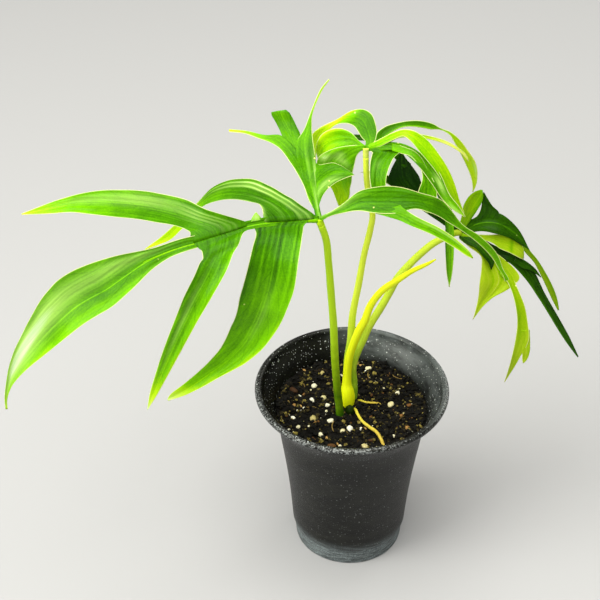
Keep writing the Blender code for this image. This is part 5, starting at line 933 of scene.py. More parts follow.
def pot_shell():
    """The pot's wall as a surface of revolution: foot, step, straight wall, flare, rolled lip and inside.

    Its outline is straight lines, two arcs and two smooth curves of (radius, height), turned about the axis.
    """
    foot_top = FOOT_RADIUS + FOOT_FLARE
    under = np.linspace((POLE_RADIUS, 0.0), (FOOT_RADIUS - 1.5, 0.0), 14)
    corner = arc((FOOT_RADIUS - FOOT_ROUNDING, FOOT_ROUNDING), FOOT_ROUNDING, -90, 0, 7)
    foot = np.linspace((FOOT_RADIUS, FOOT_ROUNDING), (foot_top, FOOT_HEIGHT), 12)[1:]
    step_out = (foot_top + FOOT_STEP, FOOT_HEIGHT + FOOT_STEP_RISE)
    step = np.array([(foot_top + FOOT_STEP * 0.6, FOOT_HEIGHT + 0.2), step_out])
    outside = rounded_line([step_out, *WALL_OUTLINE, NECK, *FLARE_OUTSIDE], 60)[1:]
    bead = arc((RIM_RADIUS - LIP_RADIUS, POT_HEIGHT - LIP_RADIUS), LIP_RADIUS, -80, 175, 25)
    inside = rounded_line(pot_inside(), 60)
    floor = np.linspace((FOOT_RADIUS - WALL, FLOOR), (POLE_RADIUS, FLOOR), 14)
    outline = np.concatenate([under, corner, foot, step, outside, bead, inside, floor])
    radii, heights = outline[:, :1], outline[:, 1:]
    sides = np.linspace(0.0, 2 * math.pi, POT_SIDES, endpoint=False)
    rings = np.stack([radii * np.cos(sides), radii * np.sin(sides), heights * np.ones_like(sides)], axis=-1)
    inner_half_of_bead = 12
    inner = np.arange(len(outline)) >= len(outline) - len(inside) - len(floor) - inner_half_of_bead
    return closed_shell(rings, {"inside": inner[:, None] * np.ones((1, POT_SIDES))})


def cut_drains(pot):
    """Takes the drain holes out of the floor with one Boolean for each."""
    for i in range(DRAIN_HOLES):
        angle = 2 * math.pi * (i + 0.5) / DRAIN_HOLES
        x, y = DRAIN_CIRCLE * math.cos(angle), DRAIN_CIRCLE * math.sin(angle)
        ends = [(x, y, -2.0, DRAIN_RADIUS), (x, y, FLOOR + 2.0, DRAIN_RADIUS)]
        points, groups, _ = tube_shell(ends, 1, 24)
        cutter = new_object("drain", points, [face for group in groups for face in group.tolist()])
        hole = pot.modifiers.new("drain", "BOOLEAN")
        hole.operation = "DIFFERENCE"
        hole.solver = "EXACT"
        hole.object = cutter
        with bpy.context.temp_override(object=pot, active_object=pot, selected_objects=[pot]):
            bpy.ops.object.modifier_apply(modifier=hole.name)
        bpy.data.objects.remove(cutter, do_unlink=True)


def soil_height(x, y):
    """The level of the mix: crossed sine waves over a slightly domed middle."""
    level = SOIL_LEVEL + SOIL_DOME * (0.5 - np.hypot(x, y) / RIM_RADIUS)
    for x_pace, y_pace, start, height in SOIL_WAVES:
        level = level + height * np.sin(x_pace * x + y_pace * y + start)
    return level


def soil_wall_radius(z):
    """The radius of the mix at a height: the pot's inner wall, less the gap between them."""
    radii, heights = zip(*reversed(pot_inside()))
    return float(np.interp(z, heights, radii)) - SEAT_GAP - FLAT_SIDE_GAP


def soil_shell(draw):
    """The mix as a closed body: rings up the pot's wall, then inward over the waved top.

    The top also has forty sine waves of random direction, 1.5 to 9 mm long, each as high as 4% of its length.
    """
    turn = np.linspace(0.0, 2 * math.pi, SOIL_SIDES, endpoint=False)
    rings = []
    for z in (FLOOR + SEAT_GAP, FOOT_HEIGHT + FOOT_STEP_RISE, *SOIL_HEIGHTS):
        radius = soil_wall_radius(z)
        rings.append(np.stack([radius * np.cos(turn), radius * np.sin(turn), np.full(SOIL_SIDES, z)], -1))
    reach = np.linspace(soil_wall_radius(SOIL_LEVEL), 0.4, SOIL_RINGS)[:, None]
    x, y = reach * np.cos(turn), reach * np.sin(turn)
    z = soil_height(x, y)
    for _ in range(LUMP_WAVES):
        length, way, start = draw.uniform(*LUMP_LENGTHS), draw.uniform(0, 2 * math.pi), draw.uniform(0, 6.28)
        z = z + 0.02 * length * np.sin((x * math.cos(way) + y * math.sin(way)) * 6.28 / length + start)
    return closed_shell(np.concatenate([np.stack(rings), np.stack([x, y, z], -1)]), {})


def ball(subdivisions):
    """The corners and triangles of a unit icosphere."""
    shape = bmesh.new()
    bmesh.ops.create_icosphere(shape, subdivisions=subdivisions, radius=1.0)
    corners = np.array([v.co[:] for v in shape.verts])
    faces = np.array([[v.index for v in f.verts] for f in shape.faces])
    shape.free()
    return corners, faces


def spun(forms, angles):
    """Each form's points turned about Z by its own angle."""
    cos, sin = np.cos(angles)[:, None], np.sin(angles)[:, None]
    x, y = forms[..., 0], forms[..., 1]
    return np.stack([x * cos - y * sin, x * sin + y * cos, forms[..., 2]], -1)


def scattered(corners, faces, forms, places, facts):
    """Many copies of one small closed form: forms is (copies, corners, 3), places (copies, 3)."""
    points = (forms + places[:, None]).reshape(-1, 3)
    starts = np.arange(len(places))[:, None, None] * len(corners)
    values = {name: np.repeat(value, len(corners)) for name, value in facts.items()}
    return points, [(faces[None] + starts).reshape(-1, 3)], values


def low_stems():
    """Points of every stem and root near the mix, with their radii."""
    curves = [PETIOLE_A, PETIOLE_B, PETIOLE_C, NEW_SHOOT, STEM_STUB, AERIAL_ROOT_LONG, AERIAL_ROOT_SHORT]
    paths = [smooth_path(curve, STALK_ROWS) for curve in curves]
    return np.concatenate([path[path[:, 2] < SOIL_LEVEL + LOW_STEM] for path in paths])


def spare_places(draw):
    """(x, y, half size) of further grains, clear of every stem and root and of the grains already placed."""
    kept_out = low_stems()
    placed = list(PERLITE + BARK)
    while len(placed) < len(PERLITE + BARK) + SPARE_GRAINS:
        radius, angle = GRAIN_FIELD * math.sqrt(draw.uniform()), draw.uniform(0, 2 * math.pi)
        x, y, size = radius * math.cos(angle), radius * math.sin(angle), draw.uniform(*SPARE_SIZES)
        stem_gap = (np.hypot(kept_out[:, 0] - x, kept_out[:, 1] - y) - kept_out[:, 3]).min()
        grain_gap = min(math.hypot(x - a, y - b) - c for a, b, c in placed)
        if min(stem_gap, grain_gap) > size + GRAIN_CLEARANCE:
            placed.append((x, y, size))
    return placed[len(PERLITE + BARK) :]


def grain_shell(grains, form, draw):
    """The larger grains: an icosphere whose reach each way is mixed from the CAD grain's twelve corners.

    Two sine waves of 5% pit it, and it lies in the mix by GRAIN_SUNK of its height.
    """
    coarse, _ = ball(1)
    fine, faces = ball(3)
    weight = np.exp(20.0 * fine @ coarse.T)
    weight /= weight.sum(1, keepdims=True)
    forms, places = [], []
    for x, y, half_size in grains:
        reach = weight @ draw.uniform(*GRAIN_JITTER, (len(coarse), 1))
        turn = draw.uniform(0, 2 * math.pi)
        pits = 1 + 0.05 * np.sin(fine @ [9, 4, 7] + x) + 0.05 * np.sin(fine @ [-5, 11, 6] + y)
        shape = fine * reach * pits[:, None] * np.array(form) * half_size
        forms.append(spun(shape[None], np.array([turn]))[0])
        places.append((x, y, float(soil_height(x, y)) + (1 - 2 * GRAIN_SUNK) * form[2] * half_size))
    tone = (np.arange(len(grains)) * 0.618) % 1.0
    return scattered(fine, faces, np.array(forms), np.array(places), {"tone": tone})


def open_soil(count, draw, clearance):
    """Random places on the mix, kept off the stems by this clearance."""
    reach = CRUMB_FIELD * np.sqrt(draw.uniform(size=count * 2))
    angle = draw.uniform(0, 2 * math.pi, count * 2)
    x, y = reach * np.cos(angle), reach * np.sin(angle)
    stems = low_stems()
    gap = (np.hypot(stems[:, :1] - x, stems[:, 1:2] - y) - stems[:, 3:4]).min(0)
    grains = np.array(PERLITE + BARK)
    covered = (np.hypot(grains[:, :1] - x, grains[:, 1:2] - y) - grains[:, 2:3] * 0.9).min(0)
    free = (gap > clearance) & (covered > 0)
    return x[free][:count], y[free][:count]


def crumb_shell(count, sizes, form, lift, draw):
    """Small jittered icosahedra all over the mix. Sizes go by a draw's cube, so small ones are commonest."""
    corners, faces = ball(1)
    x, y = open_soil(count, draw, CRUMB_CLEARANCE)
    count = len(x)
    size = sizes[0] + (sizes[1] - sizes[0]) * draw.uniform(size=count) ** 3
    forms = corners[None] * draw.uniform(0.6, 1.3, (count, len(corners), 1))
    forms = forms * (np.array(form) * draw.uniform(0.7, 1.3, (count, 3)))[:, None] * size[:, None, None]
    forms = spun(forms, draw.uniform(0, 2 * math.pi, count))
    z = soil_height(x, y) + size * (0.35 + lift * draw.uniform(size=count))
    return scattered(corners, faces, forms, np.stack([x, y, z], -1), {"tone": draw.uniform(size=count)})


def fibre_shell(draw):
    """Thin bent root hairs and coir strands that lie on the mix.

    Each is a tube whose direction turns steadily by its bend, 0.6 mm over the mix and 1.1 mm at its middle.
    """
    shells = []
    s = np.linspace(0, 1, 5)
    for start_x, start_y in zip(*open_soil(FIBRES, draw, FIBRE_CLEARANCE)):
        way, length = draw.uniform(0, 2 * math.pi), draw.uniform(*FIBRE_LENGTHS)
        bend = draw.uniform(-FIBRE_BEND, FIBRE_BEND)
        x = start_x + length * s * np.cos(way + bend * s)
        y = start_y + length * s * np.sin(way + bend * s)
        if np.hypot(x, y).max() < FIBRE_FIELD:
            z = soil_height(x, y) + 0.6 + 0.5 * np.sin(np.pi * s)
            line = [(a, b, c, FINEST_RADIUS) for a, b, c in zip(x, y, z)]
            shells.append(tube_shell(line, 12, 6, extra={"tone": draw.uniform()}))
    return joined(shells)


# Finishes. Each of the short functions makes one node of a material's tree and gives its output.


def feed(tree, socket, value):
    """Links a node's output to a socket, or sets the socket to a number or a colour."""
    if isinstance(value, bpy.types.NodeSocket):
        tree.links.new(value, socket)
    elif isinstance(value, tuple):
        socket.default_value = (*value, 1.0)
    else:
        socket.default_value = value


def calc(tree, operation, *terms, clamp=False):
    made = tree.nodes.new("ShaderNodeMath")
    made.operation = operation
    made.use_clamp = clamp
    for socket, term in zip(made.inputs, terms):
        feed(tree, socket, term)
    return made.outputs[0]


def times(tree, first, *others):
    """The product of all the terms."""
    for other in others:
        first = calc(tree, "MULTIPLY", first, other)
    return first


def plus(tree, base, value, share):
    """base + value x share"""
    return calc(tree, "MULTIPLY_ADD", value, share, base)


def varied(tree, base, pattern, height):
    """base + (pattern - 0.5) x height"""
    return plus(tree, base, calc(tree, "SUBTRACT", pattern, 0.5), height)


def blend(tree, share, low, high, mode="MIX"):
    made = tree.nodes.new("ShaderNodeMix")
    made.data_type = "RGBA"
    made.blend_type = mode
    for index, value in ((0, share), (6, low), (7, high)):
        feed(tree, made.inputs[index], value)
    return made.outputs[2]


def spread(tree, value, low, high, to_low=0.0, to_high=1.0):
    """The value's place between low and high, eased, as a number from to_low to to_high."""
    made = tree.nodes.new("ShaderNodeMapRange")
    made.interpolation_type = "SMOOTHSTEP"
    for index, term in enumerate((value, low, high, to_low, to_high)):
        feed(tree, made.inputs[index], term)
    return made.outputs[0]


def fading(tree, value, near, far):
    """1 up to near, eased down to 0 at far."""
    return spread(tree, value, near, far, 1.0, 0.0)


def vector(tree, x, y, z):
    made = tree.nodes.new("ShaderNodeCombineXYZ")
    for socket, term in zip(made.inputs, (x, y, z)):
        feed(tree, socket, term)
    return made.outputs[0]


def paced(tree, places, paces):
    """A vector of three places, each times its own pace."""
    return vector(tree, *[times(tree, place, pace) for place, pace in zip(places, paces)])


def noise(tree, place, pace, detail=2.0, rough=0.5):
    made = tree.nodes.new("ShaderNodeTexNoise")
    feed(tree, made.inputs["Vector"], place)
    made.inputs["Scale"].default_value = pace
    made.inputs["Detail"].default_value = detail
    made.inputs["Roughness"].default_value = rough
    return made.outputs["Fac"]


def spots(tree, place, pace, size, chance):
    """Round spots about random middles: 1 within the first size, eased to 0 at the second.

    Each middle has a random number. Its spot is hidden up to the first chance and whole past the second.
    """
    made = tree.nodes.new("ShaderNodeTexVoronoi")
    feed(tree, made.inputs["Vector"], place)
    made.inputs["Scale"].default_value = pace
    split = tree.nodes.new("ShaderNodeSeparateColor")
    tree.links.new(made.outputs["Color"], split.inputs[0])
    return times(tree, fading(tree, made.outputs["Distance"], *size), spread(tree, split.outputs[0], *chance))


def colours(tree, value, stops):
    """A ramp through stops of (value, colour)."""
    made = tree.nodes.new("ShaderNodeValToRGB")
    feed(tree, made.inputs[0], value)
    while len(made.color_ramp.elements) < len(stops):
        made.color_ramp.elements.new(0.5)
    for element, (position, colour) in zip(made.color_ramp.elements, stops):
        element.position = position
        element.color = (*colour, 1.0)
    return made.outputs[0]


def place_mm(tree):
    """The point's place on the object, in millimetres."""
    made = tree.nodes.new("ShaderNodeVectorMath")
    made.operation = "SCALE"
    tree.links.new(tree.nodes.new("ShaderNodeTexCoord").outputs["Object"], made.inputs[0])
    made.inputs["Scale"].default_value = 1000.0
    return made.outputs[0]


def fact(tree, name):
    made = tree.nodes.new("ShaderNodeAttribute")
    made.attribute_name = name
    return made.outputs["Fac"]


NUMBER, COLOUR = "NodeSocketFloat", "NodeSocketColor"
WHITE = (1.0, 1.0, 1.0)


def new_skin(name, inputs):
    """An empty node group that gives a skin: (group, its input sockets by name).

    A number among the inputs makes a number socket with that default, and WHITE makes a colour socket.
    """
    group = bpy.data.node_groups.new(name, "ShaderNodeTree")
    for label, default in inputs.items():
        kind = COLOUR if default is WHITE else NUMBER
        socket = group.interface.new_socket(name=label, in_out="INPUT", socket_type=kind)
        socket.default_value = (*WHITE, 1.0) if default is WHITE else default
    for label, kind in (("Colour", COLOUR), ("Roughness", NUMBER), ("Height", NUMBER)):
        group.interface.new_socket(name=label, in_out="OUTPUT", socket_type=kind)
    return group, group.nodes.new("NodeGroupInput").outputs


def give(group, colour, roughness, height):
    """Sends a skin group's three results out."""
    out = group.nodes.new("NodeGroupOutput")
    for socket, value in zip(out.inputs, (colour, roughness, height)):
        feed(group, socket, value)
    return group


def new_finish(name):
    """(material, its node tree, its Principled shader)"""
    made = bpy.data.materials.new(name)
    made.use_nodes = True
    return made, made.node_tree, made.node_tree.nodes["Principled BSDF"]


def dress(tree, surface, colour, roughness, specular, height, strength, depth_mm):
    """Feeds a finish's shader its colour, roughness and specular level, and a bump for its relief."""
    feed(tree, surface.inputs["Base Color"], colour)
    feed(tree, surface.inputs["Roughness"], roughness)
    surface.inputs["Specular IOR Level"].default_value = specular
    bump = tree.nodes.new("ShaderNodeBump")
    bump.inputs["Strength"].default_value = strength
    bump.inputs["Distance"].default_value = depth_mm * MM
    feed(tree, bump.inputs["Height"], height)
    tree.links.new(bump.outputs[0], surface.inputs["Normal"])


def skin_finish(name, skin, facts, values, specular, strength, depth_mm):
    """A finish from a skin group, which reads some of the mesh's facts and has this finish's own values."""
    made, tree, surface = new_finish(name)
    used = tree.nodes.new("ShaderNodeGroup")
    used.node_tree = skin
    for label in facts:
        feed(tree, used.inputs[label], fact(tree, label.lower()))
    for label, value in values.items():
        feed(tree, used.inputs[label], value)
    colour, roughness, height = used.outputs
    dress(tree, surface, colour, roughness, specular, height, strength, depth_mm)
    return made


# A blade's colour by its tone, from deep green to cream
BLADE_TONES = [
    (0.0, (0.008, 0.045, 0.0006)), (0.22, (0.05, 0.205, 0.0008)), (0.45, (0.16, 0.49, 0.001)),
    (0.65, (0.40, 0.70, 0.002)), (0.82, (0.58, 0.82, 0.02)), (1.0, (0.88, 0.90, 0.2)),
]
# Colours of the painted sheen and highlight, from faint to strong
FAINT_SHEEN, STRONG_SHEEN = (0.5, 0.8, 0.17), (0.66, 0.88, 0.46)
UNDERSIDE = (0.30, 0.42, 0.05)
SPECK_YELLOW = (0.78, 0.8, 0.24)
RIM_CREAM = (0.76, 0.8, 0.34)
DRIED_BROWN = (0.16, 0.09, 0.02)
BLADE_FACTS = ["Tint", "Bloom", "Across", "Along", "Edge", "Rib", "Under", "Brown"]


def blade_skin_group():
    """Skin of a blade, by the lobe's own facts.

    Its tone is the tint, varied by lengthwise streaks, fine lines, cells and blotches, darker along slanting
    side veins and paler along the midrib. Over it lie soft patches of painted sheen and highlight, an even
    painted shade on a shaded blade, yellow specks and a cream rim.
    """
    group, given = new_skin(
        "blade_skin",
        {
            "Tint": 0.4, "Bloom": 0.0, "Across": 0.0, "Along": 0.0, "Edge": 5.0, "Rib": 0.0, "Under": 0.0,
            "Brown": 0.0, "Streaks": 1.0, "Shade": WHITE,
        },
    )
    across, along, place = given["Across"], given["Along"], place_mm(group)
    broad = noise(group, vector(group, times(group, across, 0.4), times(group, along, 0.012), 0.0), 1.0)
    fine = noise(group, vector(group, times(group, across, 0.95), times(group, along, 0.02), 3.0), 1.0)
    blotch = noise(group, place, 0.07)
    cells = noise(group, place, 0.9, 3.0, 0.7)
    tone = varied(group, given["Tint"], broad, times(group, given["Streaks"], 0.22))
    tone = varied(group, tone, fine, 0.18)
    tone = varied(group, tone, cells, 0.2)
    tone = varied(group, tone, blotch, 0.18)
    beside = calc(group, "ABSOLUTE", across)
    slant = plus(group, plus(group, times(group, blotch, 0.8), along, 0.06), beside, -0.17)
    wave = calc(group, "SINE", times(group, slant, math.pi))
    side_vein = fading(group, calc(group, "ABSOLUTE", wave), 0.02, 0.16)
    tone = plus(group, tone, side_vein, -0.07)
    midrib = times(group, fading(group, beside, 0.12, 0.45), given["Rib"])
    skin = colours(group, plus(group, tone, midrib, 0.6), BLADE_TONES)
    # Painted sheen and highlight: the patches pale the skin towards the sheen colours
    sheen_share = calc(group, "MULTIPLY", given["Bloom"], spread(group, fine, 0.3, 0.7, 0.75, 1.1), clamp=True)
    sheen_colour = blend(group, spread(group, given["Bloom"], 0.6, 1.1), FAINT_SHEEN, STRONG_SHEEN)
    skin = blend(group, sheen_share, skin, sheen_colour)
    skin = blend(group, given["Under"], skin, blend(group, 0.45, skin, UNDERSIDE))
    # Painted shade: a shaded blade's whole skin is multiplied by a colour darker than white
    skin = blend(group, 1.0, skin, given["Shade"], "MULTIPLY")
    skin = blend(group, spots(group, place, 0.13, (0.05, 0.11), (0.86, 0.88)), skin, SPECK_YELLOW)
    skin = blend(group, spread(group, given["Edge"], 0.14, 0.44, 0.85, 0.0), skin, RIM_CREAM)
    dried = times(group, given["Brown"], spread(group, blotch, 0.42, 0.6))
    skin = blend(group, dried, skin, DRIED_BROWN)
    gloss = plus(group, plus(group, 0.2, fine, 0.12), given["Under"], 0.22)
    height = plus(group, plus(group, times(group, broad, 0.8), fine, 0.35), midrib, 0.6)
    return give(group, skin, gloss, height)


def stem_skin_group():
    """Skin of a stalk: one colour at its foot turns into another, with fine lines along it and freckles."""
    group, given = new_skin(
        "stem_skin",
        {
            "Level": 0.5, "Round": 0.0, "Foot": WHITE, "Top": WHITE, "Turn Level": 0.3, "Freckles": 0.3,
            "Freckle Colour": WHITE,
        },
    )
    place = place_mm(group)
    mottle = noise(group, place, 0.12, 3.0, 0.6)
    turn = times(group, given["Round"], 2 * math.pi)
    sine, cosine = calc(group, "SINE", turn), calc(group, "COSINE", turn)
    lines = noise(group, vector(group, sine, cosine, times(group, given["Level"], 1.5)), 5.0)
    level = varied(group, given["Level"], mottle, 0.3)
    skin = blend(group, spread(group, level, 0.0, given["Turn Level"]), given["Foot"], given["Top"])
    darker = blend(group, 1.0, skin, (0.6, 0.75, 0.6), "MULTIPLY")
    skin = blend(group, spread(group, lines, 0.45, 0.75, 0.0, 0.35), skin, darker)
    dots = spots(group, place, 0.9, (0.12, 0.28), (0.55, 0.6))
    skin = blend(group, times(group, dots, given["Freckles"]), skin, given["Freckle Colour"])
    return give(group, skin, plus(group, 0.27, mottle, 0.2), plus(group, lines, dots, 0.3))


def blade_finish(name, skin, streaks, painted_shade):
    return skin_finish(name, skin, BLADE_FACTS, {"Streaks": streaks, "Shade": painted_shade}, 0.06, 0.55, 0.5)


def stem_finish(name, skin, foot, top, turn_level, freckles, freckle_colour):
    values = {
        "Foot": foot, "Top": top, "Turn Level": turn_level,
        "Freckles": freckles, "Freckle Colour": freckle_colour,
    }
    return skin_finish(name, skin, ["Level", "Round"], values, 0.08, 0.35, 0.3)


def mix_finish(name, roughness, lumps, tones):
    """Crumbs, bark and grains: one tone for each piece, with a lumpy face."""
    made, tree, surface = new_finish(name)
    lump = noise(tree, place_mm(tree), lumps, 4.0, 0.65)
    skin = colours(tree, varied(tree, fact(tree, "tone"), lump, 0.5), tones)
    dress(tree, surface, skin, plus(tree, roughness + 0.1, lump, -0.2), 0.25, lump, 0.8, 0.4)
    return made


BED_TONES = [(0.3, (0.0012, 0.001, 0.0007)), (0.6, (0.004, 0.003, 0.0016)), (0.8, (0.03, 0.022, 0.008))]


def soil_finish():
    """The mix between its crumbs: nearly black, duller where it is dry."""
    made, tree, surface = new_finish("potting_mix")
    place = place_mm(tree)
    lump = noise(tree, place, 0.9, 5.0, 0.7)
    damp = noise(tree, place, 0.08)
    roughness = spread(tree, damp, 0.35, 0.65, 0.5, 0.95)
    dress(tree, surface, colours(tree, lump, BED_TONES), roughness, 0.2, lump, 1.0, 1.0)
    return made


# Black plastic, from its darkest cloud to its grain, and what lies on it, with the greys of a painted
# reflection inside the flare and of a painted highlight on the worn lip
PLASTIC_DARK, PLASTIC_PALE = (0.0014, 0.0015, 0.001), (0.0085, 0.009, 0.0065)
PLASTIC_GRAIN = (0.026, 0.028, 0.025)
FLECK_OUTSIDE, FLECK_INSIDE = (0.3, 0.32, 0.32), (0.62, 0.66, 0.66)
# Grey of the painted reflection inside the flare
FLARE_SHEEN_GREY = (0.11, 0.125, 0.128)
# Pale grey of the worn lip and of its painted highlight
WORN_LIP_AND_HIGHLIGHT = (0.4, 0.43, 0.44)
LIMESCALE = (0.26, 0.31, 0.325)


def painted_flare_sheen(tree, x, y, z, cloud):
    """How much painted reflection lies inside the flare: most at the back and right, which face the light."""
    back_right = plus(tree, times(tree, y, 0.8), x, 0.6)
    lit = calc(tree, "MAXIMUM", spread(tree, back_right, 28.0, 52.0), spread(tree, x, 40.0, 56.0, 0.0, 0.7))
    height = spread(tree, z, 100.0, 113.0)
    return times(tree, lit, fact(tree, "inside"), height, spread(tree, cloud, 0.34, 0.6, 0.35, 1.0))


def lip_wear_and_highlight(tree, place, x, y, z):
    """Wear and painted highlight on the rolled lip: in scuffs over its top, most at the front left and the
    right.
    """
    front_left = plus(tree, times(tree, y, -0.8), x, -0.6)
    sides = spread(tree, front_left, 15.0, 52.0), spread(tree, x, 48.0, 58.0)
    # Paler at the front left and the right: wear there, and a painted highlight from the light
    worn_and_lit = calc(tree, "MAXIMUM", *sides, clamp=True)
    from_axis = calc(tree, "SQRT", plus(tree, times(tree, y, y), x, x))
    outer = spread(tree, from_axis, RIM_RADIUS - 2.4, RIM_RADIUS - 1.0, 0.3, 1.0)
    bead = times(tree, outer, spread(tree, z, POT_HEIGHT - 3.4, POT_HEIGHT - 1.2))
    scuff = noise(tree, place, 0.8, 5.0, 0.75)
    return times(tree, bead, plus(tree, 0.12, worn_and_lit, 0.62), spread(tree, scuff, 0.46, 0.6))


def pot_finish():
    """Black plastic: flecks of two sizes, a painted reflection inside the flare, a worn lip with a painted
    highlight, and limescale on the foot.
    """
    made, tree, surface = new_finish("pot_plastic")
    place = place_mm(tree)
    split = tree.nodes.new("ShaderNodeSeparateXYZ")
    tree.links.new(place, split.inputs[0])
    x, y, z = split.outputs
    cloud = noise(tree, paced(tree, (x, y, z), (0.06, 0.06, 0.16)), 1.0, 4.0, 0.65)
    grain = noise(tree, place, 1.6, 4.0, 0.7)
    skin = blend(tree, spread(tree, cloud, 0.35, 0.7), PLASTIC_DARK, PLASTIC_PALE)
    skin = blend(tree, spread(tree, grain, 0.55, 0.8, 0.0, 0.5), skin, PLASTIC_GRAIN)
    # Painted reflection of the light inside the flare, at the back and right
    skin = blend(tree, painted_flare_sheen(tree, x, y, z, cloud), skin, FLARE_SHEEN_GREY)
    fine_flecks = spots(tree, place, 0.75, (0.14, 0.3), (0.6, 0.7))
    wide_flecks = spots(tree, place, 0.33, (0.08, 0.2), (0.62, 0.72))
    flecks = calc(tree, "MAXIMUM", times(tree, fine_flecks, 0.55), wide_flecks)
    fleck_shade = blend(tree, fact(tree, "inside"), FLECK_OUTSIDE, FLECK_INSIDE)
    skin = blend(tree, times(tree, flecks, spread(tree, z, 92.0, 112.0, 0.4, 1.0)), skin, fleck_shade)
    # The worn lip, with a painted highlight where the light catches its front left and right
    skin = blend(tree, lip_wear_and_highlight(tree, place, x, y, z), skin, WORN_LIP_AND_HIGHLIGHT)
    scale = noise(tree, paced(tree, (x, y, z), (0.12, 0.12, 0.7)), 1.0, 4.0, 0.65)
    low = spread(tree, z, FOOT_HEIGHT + 8.0, FOOT_HEIGHT - 5.0)
    chalk = times(
        tree, low, spread(tree, scale, 0.34, 0.62, 0.3, 1.0), spread(tree, grain, 0.4, 0.62, 0.35, 1.0)
    )
    skin = blend(tree, chalk, skin, LIMESCALE)
    rough = times(tree, plus(tree, 0.28, grain, 0.3), spread(tree, z, 98.0, 108.0, 1.0, 0.5))
    rough = plus(tree, rough, chalk, 0.3)
    rings = noise(tree, vector(tree, 0.0, 0.0, times(tree, z, 0.9)), 1.0, 3.0)
    height = plus(tree, plus(tree, grain, flecks, 0.6), rings, 0.35)
    dress(tree, surface, skin, rough, 0.26, height, 0.45, 0.35)
    return made


# Each stem finish: colour at the foot and at the top, the share of the length over which one turns into the
# other, and how strong and what colour its freckles are
STEM_TONES = {
    "stalk_yellow_green": ((0.018, 0.11, 0.001), (0.52, 0.8, 0.015), 0.6, 0.25, (0.5, 0.62, 0.1)),
    "stalk_bright_green": ((0.2, 0.5, 0.004), (0.78, 0.94, 0.06), 0.5, 0.2, (0.8, 0.88, 0.4)),
    "stalk_olive_green": ((0.13, 0.36, 0.008), (0.62, 0.8, 0.05), 0.5, 0.6, (0.6, 0.72, 0.25)),
    "old_stem_green": ((0.005, 0.013, 0.002), (0.012, 0.03, 0.002), 0.9, 0.3, (0.1, 0.12, 0.04)),
    "shoot_yellow_green": ((0.88, 0.98, 0.006), (0.9, 0.98, 0.02), 0.8, 0.1, (0.9, 0.94, 0.3)),
    "root_yellow": ((0.78, 0.7, 0.06), (0.6, 0.42, 0.07), 1.0, 0.4, (0.35, 0.2, 0.05)),
}

# Each finish in the mix: roughness, lumps in a millimetre, and colours from the darkest piece to the palest
MIX_TONES = {
    "crumb_brown": (0.85, 1.2, [
        (0.0, (0.0008, 0.0007, 0.0005)), (0.78, (0.003, 0.0024, 0.001)), (0.92, (0.05, 0.038, 0.009)),
        (1.0, (0.3, 0.24, 0.05)),
    ]),
    "perlite_white": (0.8, 0.9, [
        (0.1, (0.5, 0.42, 0.16)), (0.4, (0.86, 0.8, 0.5)), (0.9, (0.94, 0.92, 0.78)),
    ]),
    "bark_brown": (0.7, 0.8, [
        (0.0, (0.05, 0.02, 0.006)), (0.6, (0.2, 0.09, 0.02)), (1.0, (0.62, 0.38, 0.12)),
    ]),
    "coir_brown": (0.8, 0.8, [
        (0.2, (0.004, 0.003, 0.001)), (0.7, (0.03, 0.018, 0.005)), (1.0, (0.3, 0.2, 0.05)),
    ]),
}


# Assembly

grain_draw = np.random.default_rng(GRAIN_SEED)
spare = spare_places(grain_draw)
half_spare = len(spare) // 2

blade_skin = blade_skin_group()
stem_skin = stem_skin_group()
finishes = {
    "leaf_green": blade_finish("leaf_green", blade_skin, 1.0, WHITE),
    # Leaf C's finish: the same skin, darkened all over as painted shade
    "leaf_shade_green": blade_finish("leaf_shade_green", blade_skin, 0.8, (0.62, 0.62, 0.62)),
}
finishes.update({name: stem_finish(name, stem_skin, *tones) for name, tones in STEM_TONES.items()})
finishes.update({name: mix_finish(name, *tones) for name, tones in MIX_TONES.items()})

pot = piece("pot_fine", pot_shell(), pot_finish(), ["pot"])
cut_drains(pot)
piece("potting_mix_bed", soil_shell(np.random.default_rng(BED_SEED)), soil_finish(), ["soil"])

perlite = grain_shell(PERLITE + spare[:half_spare], PERLITE_FORM, grain_draw)
bark = grain_shell(BARK + spare[half_spare:], BARK_FORM, grain_draw)

crumb_draw = np.random.default_rng(CRUMB_SEED)
perlite = joined([perlite, crumb_shell(*PERLITE_CRUMBS, crumb_draw)])
bark = joined([bark, crumb_shell(*BARK_CRUMBS, crumb_draw)])
crumbs = crumb_shell(*SOIL_CRUMBS, crumb_draw)
piece("perlite_grains", perlite, finishes["perlite_white"])
piece("bark_pieces", bark, finishes["bark_brown"])
piece("soil_crumbs", crumbs, finishes["crumb_brown"], smooth=False)
piece("coir_fibres", fibre_shell(crumb_draw), finishes["coir_brown"])

# Each stem: its points, rows, sides, section, finish, slot and the CAD node that it stands for
STEMS = {
    "petiole_a_fine": (PETIOLE_A, 150, 28, grooved, "stalk_yellow_green", "stalk_yellow_green", "petiole_a"),
    "petiole_b_fine": (PETIOLE_B, 160, 28, grooved, "stalk_bright_green", "stalk_yellow_green", "petiole_b"),
    "petiole_c_fine": (PETIOLE_C, 140, 28, grooved, "stalk_olive_green", "stalk_olive_green", "petiole_c"),
    "new_shoot_rolled": (NEW_SHOOT, 190, 60, rolled, "shoot_yellow_green", "shoot_yellow_green", "new_shoot"),
    "stem_stub_fine": (STEM_STUB, 40, 28, rooty, "old_stem_green", "old_stem_green", "stem_stub"),
    "aerial_root_long_fine": (
        AERIAL_ROOT_LONG, 90, 16, rooty, "root_yellow", "root_yellow", "aerial_root_long",
    ),
    "aerial_root_short_fine": (
        AERIAL_ROOT_SHORT, 60, 16, rooty, "root_yellow", "root_yellow", "aerial_root_short",
    ),
}
for name, (points, rows, sides, section, finish, slot, node) in STEMS.items():
    piece(name, tube_shell(points, rows, sides, section), finishes[finish], [node])

